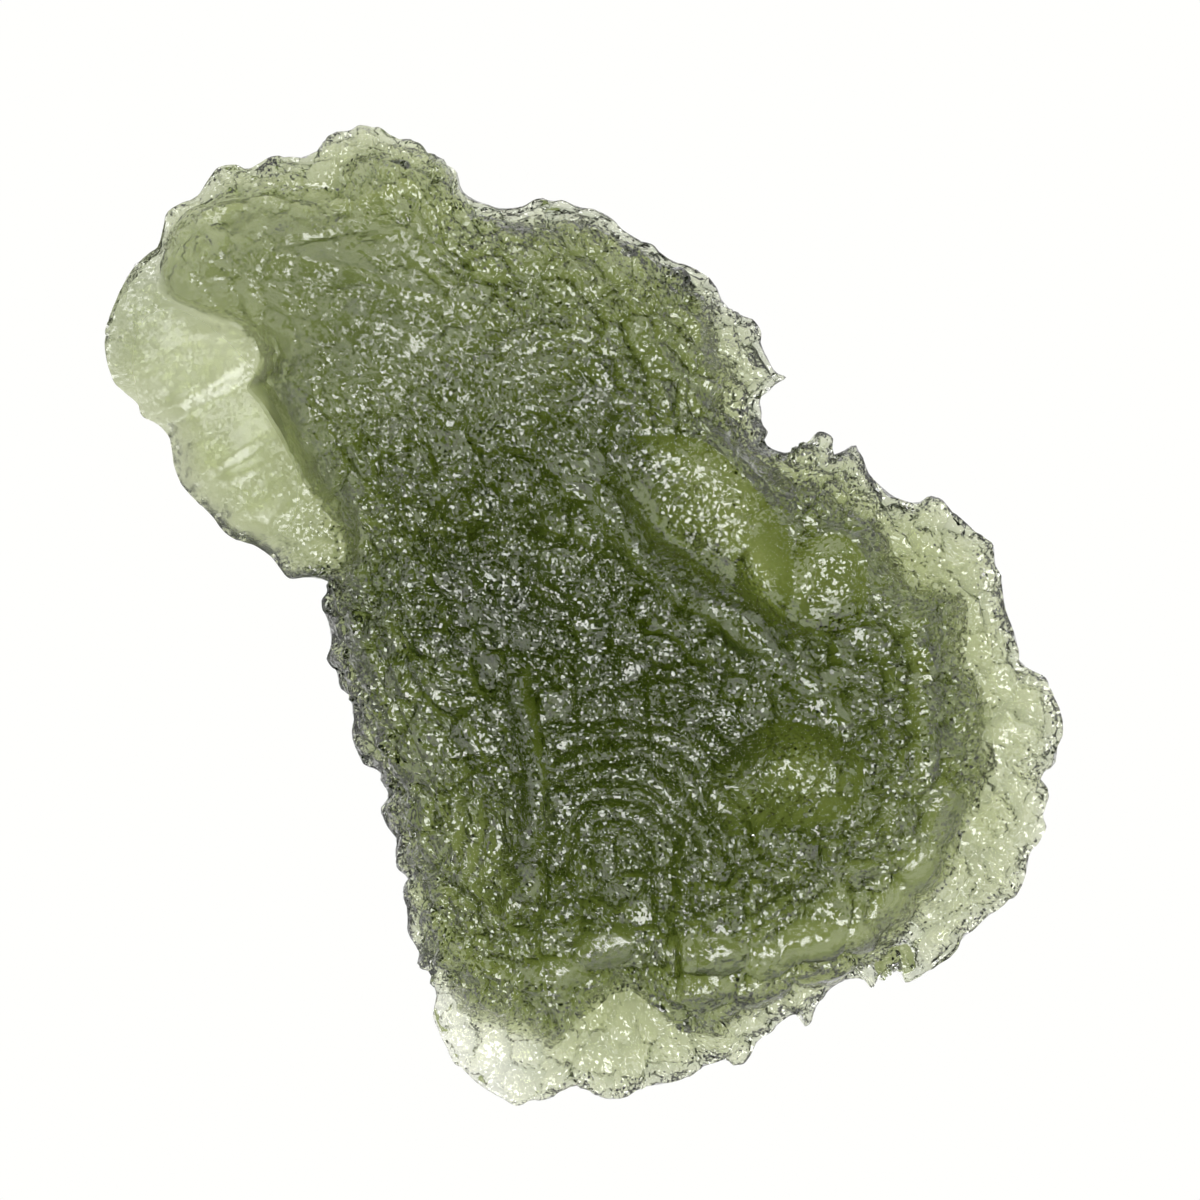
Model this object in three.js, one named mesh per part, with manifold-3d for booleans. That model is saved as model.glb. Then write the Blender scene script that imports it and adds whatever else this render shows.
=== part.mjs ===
// A moldavite: a flat splash of green natural glass lying on its own small flat spot.
// The body is thick, thin lips stand out around parts of its edge behind a steep ledge,
// and bowl-shaped scoops are etched into its upper side.
import * as THREE from "three";
import Module from "manifold-3d";

const wasm = await Module();
wasm.setup();

// Driving sizes, in millimetres and degrees.
const stoneLength = 26.9; // across the two ends that lie furthest apart
const bodyHeight = 5.9; // floor to the top of the dome, before lumps and scoops
const longAxisTurn = 51; // how far the drawing is turned so that the long axis lies along X
const ledgeRun = 0.6; // how far the ledge leans out, seen from above
const shoulderDrop = 0.8; // how far the upper side falls to the top of the ledge
const shoulderReach = 0.7; // how far in from the shelf edge that fall is felt
const domeFall = 0.011; // fall of the upper side, per square millimetre away from the middle
const bellyRise = 0.0085; // rise of the underside, per square millimetre away from the middle
const bellyDip = 0.06; // how far the belly would reach below the floor, which makes the flat spot
const rollReach = 4.8; // width of the band in which the underside turns up to the rim
const rollPower = 1.5; // how the turn is spread: 1 straight, above that steepest at the rim
const restPoint = [15.0, 14.2]; // middle of the flat spot, on the drawing
const lumps = [
  { size: 2.3, height: 0.22 },
  { size: 0.95, height: 0.2 },
];

// Mesh counts.
const spokesAcross = 36; // spokes on the north side, and on the south side
const spokesAlong = 54; // spokes on the east side, and on the west side
const lipRings = 4;
const ledgeRings = 2;
const undersideRings = 2;
const curveSamples = 24; // samples between two drawn points
const relaxSweeps = 500;

// The edge, drawn from above in millimetres, clockwise, in stretches. Each stretch has the
// points of the outline and of the shelf, which is the edge of the thick body behind it.
// rim is the height of the rim, as a part of the body height, and foot is the height of the
// foot of the ledge, as a part of the height of its top. edge is the thickness of the rim.
// bulge shapes the way up from the rim to the foot: below 1 is hollow, 1 is straight and 2
// is round.
const brow = {
  outline: [[3.95, 23.8], [4.1, 24.3], [4.2, 24.7], [4.55, 24.9], [4.95, 25.1], [5.15, 25.4],
    [5.35, 25.7], [5.6, 25.85], [5.9, 25.9], [6.2, 25.8], [6.45, 25.9], [6.75, 26.05],
    [7.2, 26.1], [7.6, 26.1]],
  shelf: [[4.15, 23.4], [4.3, 24.05], [4.65, 24.45], [5.0, 24.7], [5.55, 24.95], [6.1, 25.05],
    [6.9, 25.05], [7.75, 24.9]],
  rim: 0.36, foot: 0.9, edge: 1.1, bulge: 1.2,
};
const crown = {
  outline: [[8.0, 26.3], [8.2, 26.6], [8.4, 26.7], [8.65, 26.7], [8.9, 26.85], [9.2, 26.85],
    [9.5, 26.8], [9.8, 26.6], [10.1, 26.5], [10.5, 26.3], [10.85, 26.1], [11.15, 25.9],
    [11.4, 25.75], [11.5, 25.45]],
  shelf: [[8.45, 24.9], [8.7, 25.2], [8.8, 25.55], [9.05, 25.85], [9.5, 26.0], [10.0, 25.85],
    [10.5, 25.75], [10.95, 25.75], [11.2, 25.45]],
  rim: 0.34, foot: 0.86, edge: 0.9, bulge: 1.1,
};
const northEastRim = {
  outline: [[11.6, 25.2], [11.9, 25.0], [12.2, 24.9], [12.5, 24.8], [12.8, 24.8], [13.1, 24.85],
    [13.35, 25.0], [13.6, 25.05], [13.8, 24.95], [14.0, 25.0], [14.3, 24.9], [14.6, 24.8],
    [14.9, 24.75], [15.3, 24.55], [15.5, 24.3], [15.7, 24.15], [16.0, 24.0], [16.3, 23.9],
    [16.5, 23.7], [16.8, 23.5], [17.1, 23.4], [17.5, 23.2], [17.8, 23.0]],
  shelf: [[11.4, 25.05], [12.0, 24.55], [12.75, 24.3], [13.6, 24.4], [14.5, 24.35], [15.1, 24.1],
    [15.75, 23.75], [16.4, 23.35], [17.0, 23.0]],
  rim: 0.38, foot: 0.64, edge: 0.4, bulge: 1.1,
};
const hook = {
  outline: [[17.95, 22.8], [18.05, 22.5], [18.3, 22.2], [18.6, 22.1], [18.85, 22.0],
    [19.0, 21.75], [19.05, 21.4], [19.2, 21.05], [19.4, 20.7], [19.65, 20.55], [19.4, 20.4],
    [19.2, 20.2], [19.0, 20.05], [19.05, 19.7], [19.05, 19.4], [19.2, 19.2]],
  shelf: [[17.45, 22.6], [17.5, 22.1], [17.4, 21.6], [17.55, 21.1], [17.75, 20.55],
    [17.65, 20.05], [17.8, 19.6]],
  rim: 0.36, foot: 0.66, edge: 0.3, bulge: 1.0,
};
const notch = {
  outline: [[19.1, 19.0], [19.25, 18.8], [19.6, 18.7], [20.0, 18.8], [20.3, 19.0], [20.4, 19.2],
    [20.6, 19.2], [20.8, 19.05], [20.85, 18.65], [21.1, 18.75], [21.4, 18.9], [21.55, 18.6],
    [21.7, 18.2]],
  shelf: [[18.05, 19.1], [18.45, 18.5], [19.0, 17.9], [19.7, 17.55], [20.3, 17.5], [20.65, 17.1],
    [21.25, 16.95]],
  rim: 0.34, foot: 0.7, edge: 0.4, bulge: 1.1,
};
const eastLip = {
  outline: [[22.0, 17.9], [22.4, 17.6], [22.95, 17.45], [23.25, 17.6], [23.55, 17.5],
    [23.8, 17.2], [24.15, 16.9], [24.55, 16.6], [24.85, 16.35], [24.9, 15.9], [25.05, 15.6],
    [25.1, 15.0], [25.2, 14.55], [25.4, 14.1], [25.5, 13.75], [25.5, 13.5], [25.8, 13.25],
    [26.1, 13.1], [26.3, 12.7], [26.5, 12.25]],
  shelf: [[21.7, 16.75], [21.9, 16.25], [22.1, 15.6], [22.4, 15.2], [22.9, 15.0], [23.55, 15.0],
    [23.6, 14.3], [23.6, 13.6], [23.9, 13.05]],
  rim: 0.32, foot: 0.6, edge: 0.9, bulge: 1.2,
};
const southEastLip = {
  outline: [[26.6, 11.7], [26.45, 11.3], [26.4, 10.9], [26.0, 10.55], [26.2, 10.3],
    [26.25, 10.05], [26.1, 9.7], [26.15, 9.3], [26.0, 9.0], [25.75, 8.6], [25.7, 8.25],
    [25.5, 7.8], [25.2, 7.45], [24.8, 7.15], [24.4, 6.8], [24.1, 6.55], [23.9, 6.15],
    [23.5, 5.9], [23.05, 5.6], [22.6, 5.45], [22.55, 5.75]],
  shelf: [[24.3, 12.4], [24.3, 11.6], [24.4, 11.05], [24.15, 10.6], [24.0, 10.05],
    [23.65, 9.45], [23.55, 8.75], [23.2, 8.2], [22.7, 7.6], [22.5, 6.9]],
  rim: 0.33, foot: 0.62, edge: 0.9, bulge: 1.2,
};
const southRim = {
  outline: [[22.5, 6.0], [22.2, 5.8], [21.95, 5.55], [21.8, 5.3], [21.6, 5.5], [21.2, 5.5],
    [20.9, 5.35], [20.65, 5.15], [20.4, 4.8], [20.3, 4.5], [20.15, 4.3], [19.95, 4.65],
    [19.6, 4.5], [19.3, 4.2]],
  shelf: [[22.35, 6.3], [21.95, 6.05], [21.45, 5.95], [20.9, 5.8], [20.25, 5.65], [19.65, 5.5],
    [19.1, 5.3], [18.6, 5.0]],
  rim: 0.34, foot: 0.66, edge: 0.45, bulge: 1.1,
};
const southLip = {
  outline: [[19.0, 4.0], [18.75, 3.6], [18.55, 3.4], [18.15, 3.5], [17.8, 3.4], [17.45, 3.25],
    [17.2, 3.05], [16.6, 2.9], [16.1, 2.8], [15.7, 2.6], [15.3, 2.5], [14.9, 2.6], [14.7, 2.8],
    [14.3, 2.8], [14.0, 2.7], [13.7, 2.5]],
  shelf: [[18.05, 4.7], [17.6, 4.4], [17.1, 4.45], [16.7, 4.7], [16.25, 5.1], [15.95, 5.6],
    [15.5, 5.7], [15.05, 5.5], [14.7, 5.2], [14.4, 4.7]],
  rim: 0.32, foot: 0.6, edge: 0.8, bulge: 1.2,
};
const southWestLip = {
  outline: [[13.3, 2.5], [13.0, 2.35], [12.6, 2.5], [12.2, 2.7], [11.8, 3.0], [11.55, 3.3],
    [11.3, 3.45], [11.15, 3.8], [10.95, 4.2], [10.8, 4.6], [10.9, 5.1], [10.8, 5.4]],
  shelf: [[14.0, 4.3], [13.5, 4.5], [12.9, 4.7], [12.25, 4.85], [11.75, 5.0], [11.65, 5.25],
    [11.3, 5.5]],
  rim: 0.28, foot: 0.44, edge: 0.2, bulge: 1.0,
};
const westWall = {
  outline: [[10.8, 5.6], [10.55, 5.95], [10.4, 6.35], [10.2, 6.75], [10.2, 7.15], [10.1, 7.55],
    [10.1, 7.9], [10.2, 8.05], [9.9, 8.3], [9.9, 8.65], [9.9, 9.0], [9.65, 9.4], [9.5, 9.8],
    [9.7, 10.1], [9.6, 10.4], [9.5, 10.7], [9.1, 10.9], [8.9, 11.25], [8.8, 11.7],
    [8.85, 12.2], [8.75, 12.6], [8.5, 12.8], [8.4, 13.2], [8.25, 13.5], [8.3, 13.9],
    [8.2, 14.45], [8.1, 14.95]],
  shelf: [[11.1, 5.85], [11.0, 6.5], [10.85, 7.25], [10.75, 8.0], [10.55, 8.75], [10.3, 9.5],
    [10.2, 10.25], [9.95, 10.8], [9.55, 11.4], [9.45, 12.1], [9.15, 12.75], [8.95, 13.5],
    [8.85, 14.25], [8.75, 14.9]],
  rim: 0.38, foot: 0.76, edge: 0.4, bulge: 1.3,
};
const westLip = {
  outline: [[8.25, 15.3], [8.2, 15.45], [7.6, 15.55], [7.25, 15.55], [7.0, 15.8], [6.75, 16.1],
    [6.4, 16.35], [5.9, 16.5], [5.6, 16.7], [5.3, 17.1], [4.9, 17.5], [4.55, 17.9],
    [4.35, 18.4], [4.3, 18.8], [4.25, 19.05], [3.95, 19.4], [3.55, 19.6], [3.45, 19.9],
    [3.1, 20.2], [2.85, 20.45], [2.7, 20.9], [2.6, 21.4], [2.7, 21.95], [2.9, 22.45],
    [3.1, 22.9], [3.4, 23.35], [3.8, 23.7]],
  shelf: [[8.8, 15.4], [9.0, 16.0], [9.15, 16.5], [9.05, 16.95], [8.75, 17.4], [8.3, 17.95],
    [7.95, 18.55], [7.6, 19.2], [7.3, 19.7], [7.05, 20.1], [6.75, 20.5], [7.0, 20.95],
    [6.9, 21.45], [6.55, 21.9], [5.8, 22.15], [5.1, 22.35], [4.6, 22.5], [4.25, 22.85],
    [4.1, 23.25]],
  rim: 0.32, foot: 0.62, edge: 1.6, bulge: 1.5,
};
const sides = [
  { stretches: [brow, crown, northEastRim], spokes: spokesAcross },
  { stretches: [hook, notch, eastLip, southEastLip], spokes: spokesAlong },
  { stretches: [southRim, southLip, southWestLip], spokes: spokesAcross },
  { stretches: [westWall, westLip], spokes: spokesAlong },
];

// Broad swells of the upper side: middle, half-length and half-width, turn and rise.
const swells = [
  { at: [7.6, 22.6], radii: [4.2, 2.8], turn: -20, rise: 0.25 }, // the smooth lobe
  { at: [12.2, 16.6], radii: [3.2, 0.6], turn: -8, rise: -0.4 }, // the dark valley
  { at: [17.9, 14.6], radii: [4.6, 0.8], turn: -44, rise: 0.4 }, // the diagonal ridge
  { at: [13.3, 10.0], radii: [0.5, 3.0], turn: 8, rise: 0.35 }, // the bent ridge
  { at: [23.0, 12.5], radii: [0.5, 2.2], turn: 0, rise: 0.2 }, // the band behind the east lip
  { at: [22.7, 6.2], radii: [1.1, 1.1], turn: 0, rise: -1.6 }, // the worn south-east corner
];

// Bowls etched into the upper side: middle, opening half-length and half-width, turn, and
// the depth below the dome.
const scoops = [
  { at: [17.8, 17.1], radii: [2.9, 1.7], turn: -40, depth: 1.1 },
  { at: [19.1, 15.9], radii: [1.5, 1.0], turn: -55, depth: 1.4 },
  { at: [20.6, 15.4], radii: [1.5, 1.35], turn: 20, depth: 0.95 },
  { at: [19.7, 10.5], radii: [2.0, 1.4], turn: 8, depth: 1.25 },
  { at: [22.5, 8.5], radii: [0.8, 0.65], turn: -45, depth: 0.5 },
  { at: [12.0, 8.6], radii: [1.2, 2.1], turn: 14, depth: 0.6 },
  { at: [10.7, 11.15], radii: [0.6, 0.55], turn: 0, depth: 0.4 },
];
const scoopRadius = 2.2; // the upright half-height of every scoop's ellipsoid
const scoopWander = 0.7; // how unevenly a scoop's rim runs

const mix = (a, b, t) => a + (b - a) * t;
const radians = THREE.MathUtils.degToRad;

// Offsets of a point from a middle, measured along the two axes of a turned ellipse.
function ellipseAxes(x, y, { at, turn }) {
  const c = Math.cos(radians(turn));
  const s = Math.sin(radians(turn));
  return [(x - at[0]) * c + (y - at[1]) * s, (y - at[1]) * c - (x - at[0]) * s];
}

// Smooth lumps: heights at the corners of a square lattice, blended in between.
function latticeHeight(i, j) {
  const wave = Math.sin(i * 127.1 + j * 311.7) * 43758.5453;
  return wave - Math.floor(wave) - 0.5;
}

function lumpHeight(x, y, size) {
  const i = Math.floor(x / size);
  const j = Math.floor(y / size);
  const u = THREE.MathUtils.smoothstep(x / size - i, 0, 1);
  const v = THREE.MathUtils.smoothstep(y / size - j, 0, 1);
  const near = mix(latticeHeight(i, j), latticeHeight(i + 1, j), u);
  const far = mix(latticeHeight(i, j + 1), latticeHeight(i + 1, j + 1), u);
  return mix(near, far, v);
}

function lumpy(x, y) {
  return lumps.reduce((sum, { size, height }) => sum + height * lumpHeight(x, y, size), 0);
}

// Height of the dome: highest in the middle, falling away as a parabola.
function domeHeight(x, y) {
  const away = (x - restPoint[0]) ** 2 + (y - restPoint[1]) ** 2;
  return bodyHeight - domeFall * away;
}

function upperHeight(x, y, toShelf) {
  const shoulder = shoulderDrop * Math.exp(-toShelf / shoulderReach);
  let z = domeHeight(x, y) + lumpy(x, y) - shoulder;
  for (const swell of swells) {
    const [u, v] = ellipseAxes(x, y, swell);
    z += swell.rise * Math.exp(-((u / swell.radii[0]) ** 2) - (v / swell.radii[1]) ** 2);
  }
  return z;
}

// Height of the underside: a bowl, turned up to the rim near the outline.
function lowerHeight(x, y, toRim, rimHeight) {
  const away = (x - restPoint[0]) ** 2 + (y - restPoint[1]) ** 2;
  const steady = Math.min(1, away / 20);
  const bowl = bellyRise * away - bellyDip + steady * lumpy(y + 40, x);
  const roll = (1 - Math.min(1, toRim / rollReach)) ** rollPower;
  return mix(bowl, rimHeight, roll);
}

// Points of one stretch of a closed curve, evenly spaced along it.
function evenPoints(curve, total, from, to, count) {
  const steps = (to - from) * curveSamples;
  const fine = Array.from({ length: steps + 1 }, (_, i) => {
    return curve.getPoint(((from + i / curveSamples) % total) / total);
  });
  const run = [0];
  for (let i = 1; i < fine.length; i += 1) {
    run.push(run[i - 1] + fine[i].distanceTo(fine[i - 1]));
  }
  const points = [];
  let at = 0;
  for (let k = 0; k < count; k += 1) {
    const goal = (run[steps] * k) / count;
    while (run[at + 1] < goal) {
      at += 1;
    }
    points.push(fine[at].clone().lerp(fine[at + 1], (goal - run[at]) / (run[at + 1] - run[at])));
  }
  return points;
}

function closedCurve(key) {
  const drawn = sides.flatMap((side) => side.stretches.flatMap((stretch) => stretch[key]));
  const vectors = drawn.map(([x, y]) => new THREE.Vector3(x, y, 0));
  return new THREE.CatmullRomCurve3(vectors, true, "centripetal");
}

// Spokes lead from the outline to the shelf. Each side shares its spokes among its
// stretches by their length.
function drawSpokes() {
  const outline = closedCurve("outline");
  const shelf = closedCurve("shelf");
  const outlineTotal = outline.points.length;
  const shelfTotal = shelf.points.length;
  const spokes = [];
  let outlineAt = 0;
  let shelfAt = 0;
  for (const side of sides) {
    const drawnPoints = side.stretches.reduce((sum, s) => sum + s.outline.length, 0);
    let left = side.spokes;
    side.stretches.forEach((stretch, index) => {
      const last = index === side.stretches.length - 1;
      const fair = Math.round((side.spokes * stretch.outline.length) / drawnPoints);
      const count = last ? left : fair;
      left -= count;
      const outlineEnd = outlineAt + stretch.outline.length;
      const shelfEnd = shelfAt + stretch.shelf.length;
      const outer = evenPoints(outline, outlineTotal, outlineAt, outlineEnd, count);
      const inner = evenPoints(shelf, shelfTotal, shelfAt, shelfEnd, count);
      outer.forEach((point, k) => spokes.push({ outer: point, inner: inner[k], stretch }));
      outlineAt = outlineEnd;
      shelfAt = shelfEnd;
    });
  }
  return spokes;
}

// The stretch values of a spoke, blended with those of the spokes beside it.
function blendValues(spokes) {
  const reach = 2;
  return spokes.map((_, k) => {
    const values = { rim: 0, foot: 0, edge: 0, bulge: 0 };
    for (let step = -reach; step <= reach; step += 1) {
      const { stretch } = spokes[(k + step + spokes.length) % spokes.length];
      for (const name of Object.keys(values)) {
        values[name] += stretch[name] / (2 * reach + 1);
      }
    }
    return values;
  });
}

// A closed skin made of points and triangles.
class Skin {
  constructor() {
    this.points = [];
    this.triangles = [];
  }

  addPoint(x, y, z) {
    this.points.push(x, y, z);
    return this.points.length / 3 - 1;
  }

  addTriangle(a, b, c) {
    this.triangles.push(a, b, c);
  }

  // A band between two rings with the same number of points.
  addBand(ring, next) {
    ring.forEach((a, k) => {
      const after = (k + 1) % ring.length;
      this.addTriangle(a, next[k], next[after]);
      this.addTriangle(a, next[after], ring[after]);
    });
  }

  // A band between a ring and one with half as many points.
  addHalvingBand(fine, coarse) {
    coarse.forEach((a, k) => {
      const b = coarse[(k + 1) % coarse.length];
      const [first, middle, last] = [2 * k, 2 * k + 1, 2 * k + 2].map((i) => fine[i % fine.length]);
      this.addTriangle(a, first, middle);
      this.addTriangle(a, middle, b);
      this.addTriangle(b, middle, last);
    });
  }
}

// The place of a net point between its eight neighbours that keeps the cells even and stops
// them from folding over where the edge bends inwards.
function evenedPoint(net, i, j) {
  const [east, west] = [net[j][i + 1], net[j][i - 1]];
  const [north, south] = [net[j - 1][i], net[j + 1][i]];
  const across = [east[0] - west[0], east[1] - west[1]];
  const along = [south[0] - north[0], south[1] - north[1]];
  const acrossWeight = along[0] ** 2 + along[1] ** 2;
  const alongWeight = across[0] ** 2 + across[1] ** 2;
  const skew = across[0] * along[0] + across[1] * along[1];
  return [0, 1].map((axis) => {
    const twist = net[j + 1][i + 1][axis] - net[j + 1][i - 1][axis]
      - net[j - 1][i + 1][axis] + net[j - 1][i - 1][axis];
    const pull = acrossWeight * (east[axis] + west[axis]) + alongWeight * (north[axis] + south[axis]);
    return (pull - (skew * twist) / 2) / (2 * (acrossWeight + alongWeight));
  });
}

// Fills a ring with an evened net of points, and gives each point its height.
function fillRing(skin, ring, across, along, heightAt, upwards) {
  const grid = Array.from({ length: along + 1 }, () => new Array(across + 1).fill(null));
  const corner = [0, across, across + along, 2 * across + along];
  for (let i = 0; i <= across; i += 1) {
    grid[0][i] = ring[corner[0] + i];
    grid[along][across - i] = ring[corner[2] + i];
  }
  for (let j = 0; j <= along; j += 1) {
    grid[j][across] = ring[corner[1] + j];
    grid[along - j][0] = ring[(corner[3] + j) % ring.length];
  }
  const place = (index) => [skin.points[3 * index], skin.points[3 * index + 1]];
  const net = grid.map((row) => row.map((index) => (index === null ? [0, 0] : place(index))));
  for (let j = 1; j < along; j += 1) {
    for (let i = 1; i < across; i += 1) {
      const u = i / across;
      net[j][i] = [0, 1].map((axis) => mix(net[j][0][axis], net[j][across][axis], u));
    }
  }
  for (let sweep = 0; sweep < relaxSweeps; sweep += 1) {
    for (let j = 1; j < along; j += 1) {
      for (let i = 1; i < across; i += 1) {
        net[j][i] = evenedPoint(net, i, j);
      }
    }
  }
  for (let j = 1; j < along; j += 1) {
    for (let i = 1; i < across; i += 1) {
      const [x, y] = net[j][i];
      grid[j][i] = skin.addPoint(x, y, heightAt(x, y));
    }
  }
  for (let j = 0; j < along; j += 1) {
    for (let i = 0; i < across; i += 1) {
      const [a, b, c, d] = [grid[j][i], grid[j][i + 1], grid[j + 1][i + 1], grid[j + 1][i]];
      if (upwards) {
        skin.addTriangle(a, d, c);
        skin.addTriangle(a, c, b);
      } else {
        skin.addTriangle(a, c, d);
        skin.addTriangle(a, b, c);
      }
    }
  }
}

function buildStone() {
  const skin = new Skin();
  const spokes = drawSpokes();
  const values = blendValues(spokes);
  const nearest = (points, x, y) => {
    const gaps = points.map((point) => Math.hypot(point.x - x, point.y - y));
    const gap = Math.min(...gaps);
    return { gap, index: gaps.indexOf(gap) };
  };
  const outer = spokes.map((spoke) => spoke.outer);
  const inner = spokes.map((spoke) => spoke.inner);
  const heightAbove = (x, y) => upperHeight(x, y, nearest(inner, x, y).gap);
  const heightBelow = (x, y) => {
    const { gap, index } = nearest(outer, x, y);
    return lowerHeight(x, y, gap, values[index].rim * bodyHeight - values[index].edge / 2);
  };

  // One ring of the upper side: run is the part of the way from the outline to the foot
  // of the ledge, and climb is the part of the way up the ledge.
  const upperRing = (run, climb) => spokes.map((spoke, k) => {
    const { rim, foot, edge, bulge } = values[k];
    const width = spoke.outer.distanceTo(spoke.inner);
    const ledge = Math.min(ledgeRun / width, 0.4);
    const part = run * (1 - ledge) + climb * ledge;
    const { x, y } = spoke.outer.clone().lerp(spoke.inner, part);
    const rimTop = rim * bodyHeight + edge / 2;
    const footHeight = foot * upperHeight(spoke.inner.x, spoke.inner.y, 0) + 0.6 * lumpy(x, y);
    const rise = (1 - (1 - run) ** bulge) ** (1 / bulge);
    const lipHeight = mix(rimTop, footHeight, rise);
    return skin.addPoint(x, y, mix(lipHeight, upperHeight(x, y, 0), climb));
  });

  const upper = [];
  for (let ring = 0; ring <= lipRings; ring += 1) {
    upper.push(upperRing(ring / lipRings, 0));
  }
  for (let ring = 1; ring <= ledgeRings; ring += 1) {
    upper.push(upperRing(1, ring / ledgeRings));
  }
  for (let ring = 1; ring < upper.length; ring += 1) {
    skin.addBand(upper[ring - 1], upper[ring]);
  }
  fillRing(skin, upper[upper.length - 1], spokesAcross, spokesAlong, heightAbove, true);

  // The underside takes every second spoke.
  const lowerRing = (part) => spokes.filter((_, k) => k % 2 === 0).map((spoke) => {
    const { x, y } = spoke.outer.clone().lerp(spoke.inner, part);
    return skin.addPoint(x, y, heightBelow(x, y));
  });
  const lower = [];
  for (let ring = 0; ring <= undersideRings; ring += 1) {
    lower.push(lowerRing(ring / undersideRings));
  }
  skin.addHalvingBand(upper[0], lower[0]);
  for (let ring = 1; ring < lower.length; ring += 1) {
    skin.addBand(lower[ring], lower[ring - 1]);
  }
  const innerLower = lower[lower.length - 1];
  fillRing(skin, innerLower, spokesAcross / 2, spokesAlong / 2, heightBelow, false);
  return skin;
}

// A closed body for joining and cutting, from points and triangles.
function toSolid(points, triangles) {
  const mesh = new wasm.Mesh({
    numProp: 3,
    vertProperties: new Float32Array(points),
    triVerts: new Uint32Array(triangles),
  });
  mesh.merge();
  return new wasm.Manifold(mesh);
}

// The ellipsoid whose lower end is the bowl of one scoop.
function scoopSolid(scoop) {
  const shape = new THREE.SphereGeometry(1, 22, 14);
  const cap = Math.sqrt(1 - (1 - scoop.depth / scoopRadius) ** 2);
  const floor = domeHeight(...scoop.at) - scoop.depth;
  shape.rotateX(Math.PI / 2);
  shape.scale(scoop.radii[0] / cap, scoop.radii[1] / cap, scoopRadius);
  shape.rotateZ(radians(scoop.turn));
  shape.translate(scoop.at[0], scoop.at[1], floor + scoopRadius);
  const position = shape.getAttribute("position");
  for (let k = 0; k < position.count; k += 1) {
    const [x, y] = [position.getX(k), position.getY(k)];
    position.setX(k, x + scoopWander * lumpHeight(x, y, 1.5));
    position.setY(k, y + scoopWander * lumpHeight(y, x, 1.5));
  }
  return toSolid(position.array, shape.getIndex().array);
}

// Everything below the floor, cut away to leave the flat spot.
function groundSolid() {
  const depth = 10;
  const slab = new THREE.BoxGeometry(60, 60, depth);
  slab.translate(restPoint[0], restPoint[1], -depth / 2);
  return toSolid(slab.getAttribute("position").array, slab.getIndex().array);
}

function cutStone() {
  const skin = buildStone();
  let stone = toSolid(skin.points, skin.triangles);
  for (const scoop of scoops) {
    stone = stone.subtract(scoopSolid(scoop));
  }
  return stone.subtract(groundSolid());
}

// The finished shape, turned so that its long axis lies along X, with the middle of its box
// above the origin and its flat spot on the floor.
function placeStone() {
  const { vertProperties, triVerts } = cutStone().getMesh();
  const shape = new THREE.BufferGeometry();
  shape.setAttribute("position", new THREE.BufferAttribute(vertProperties, 3));
  shape.setIndex(new THREE.BufferAttribute(triVerts, 1));
  shape.rotateZ(radians(longAxisTurn));
  shape.computeBoundingBox();
  const size = shape.boundingBox.getSize(new THREE.Vector3());
  const scale = stoneLength / size.x;
  const middle = shape.boundingBox.getCenter(new THREE.Vector3());
  shape.translate(-middle.x, -middle.y, -shape.boundingBox.min.z);
  shape.scale(scale, scale, scale);
  shape.computeVertexNormals();
  return shape;
}

const glass = new THREE.MeshStandardMaterial({ color: 0x6f8240, roughness: 0.3, metalness: 0 });
const moldavite = new THREE.Mesh(placeStone(), glass);
moldavite.name = "moldavite";
const group = new THREE.Group();
group.add(moldavite);

export default group;
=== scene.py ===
"""A moldavite on a light table, seen from straight above.

The stone is one closed surface. Its edge is drawn from above in millimetres: the outline,
and behind it the shelf, which is the edge of the thick body. Spokes join the two, rings of
points run along the spokes, and a net of points fills what the shelf encloses. The same net,
at half the fineness, makes the underside. At last the etching moves each point along its normal.

The drawing is called the sheet. It is 30 mm square, with x to the right and y up, and a place
on it is turned and shifted into the frame when the mesh is made.
"""

import logging
import math
from dataclasses import dataclass, field
from enum import Enum

import bpy
import numpy as np
from numpy.typing import NDArray
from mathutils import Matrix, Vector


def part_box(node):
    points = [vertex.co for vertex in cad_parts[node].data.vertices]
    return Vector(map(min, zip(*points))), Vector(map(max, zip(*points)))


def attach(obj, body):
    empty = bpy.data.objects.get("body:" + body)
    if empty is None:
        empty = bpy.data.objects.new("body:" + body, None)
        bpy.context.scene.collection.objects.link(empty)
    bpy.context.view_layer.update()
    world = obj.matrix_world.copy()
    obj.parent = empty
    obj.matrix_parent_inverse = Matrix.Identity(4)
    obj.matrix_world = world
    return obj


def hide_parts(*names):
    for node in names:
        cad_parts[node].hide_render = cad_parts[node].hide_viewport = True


Array = NDArray[np.float64]
Numbers = NDArray[np.int64]
Point = tuple[float, float]
Colour = tuple[float, float, float]

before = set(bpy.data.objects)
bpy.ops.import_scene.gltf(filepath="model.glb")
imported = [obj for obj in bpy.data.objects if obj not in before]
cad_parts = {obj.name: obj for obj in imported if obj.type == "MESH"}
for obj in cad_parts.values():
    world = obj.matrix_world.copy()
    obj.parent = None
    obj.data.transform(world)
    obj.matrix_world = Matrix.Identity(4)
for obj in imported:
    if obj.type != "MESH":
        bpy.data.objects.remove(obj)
log = logging.getLogger("moldavite")

MM = 0.001
NODE = "moldavite"
SHEET_SIDE = 30.0  # millimetres

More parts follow.
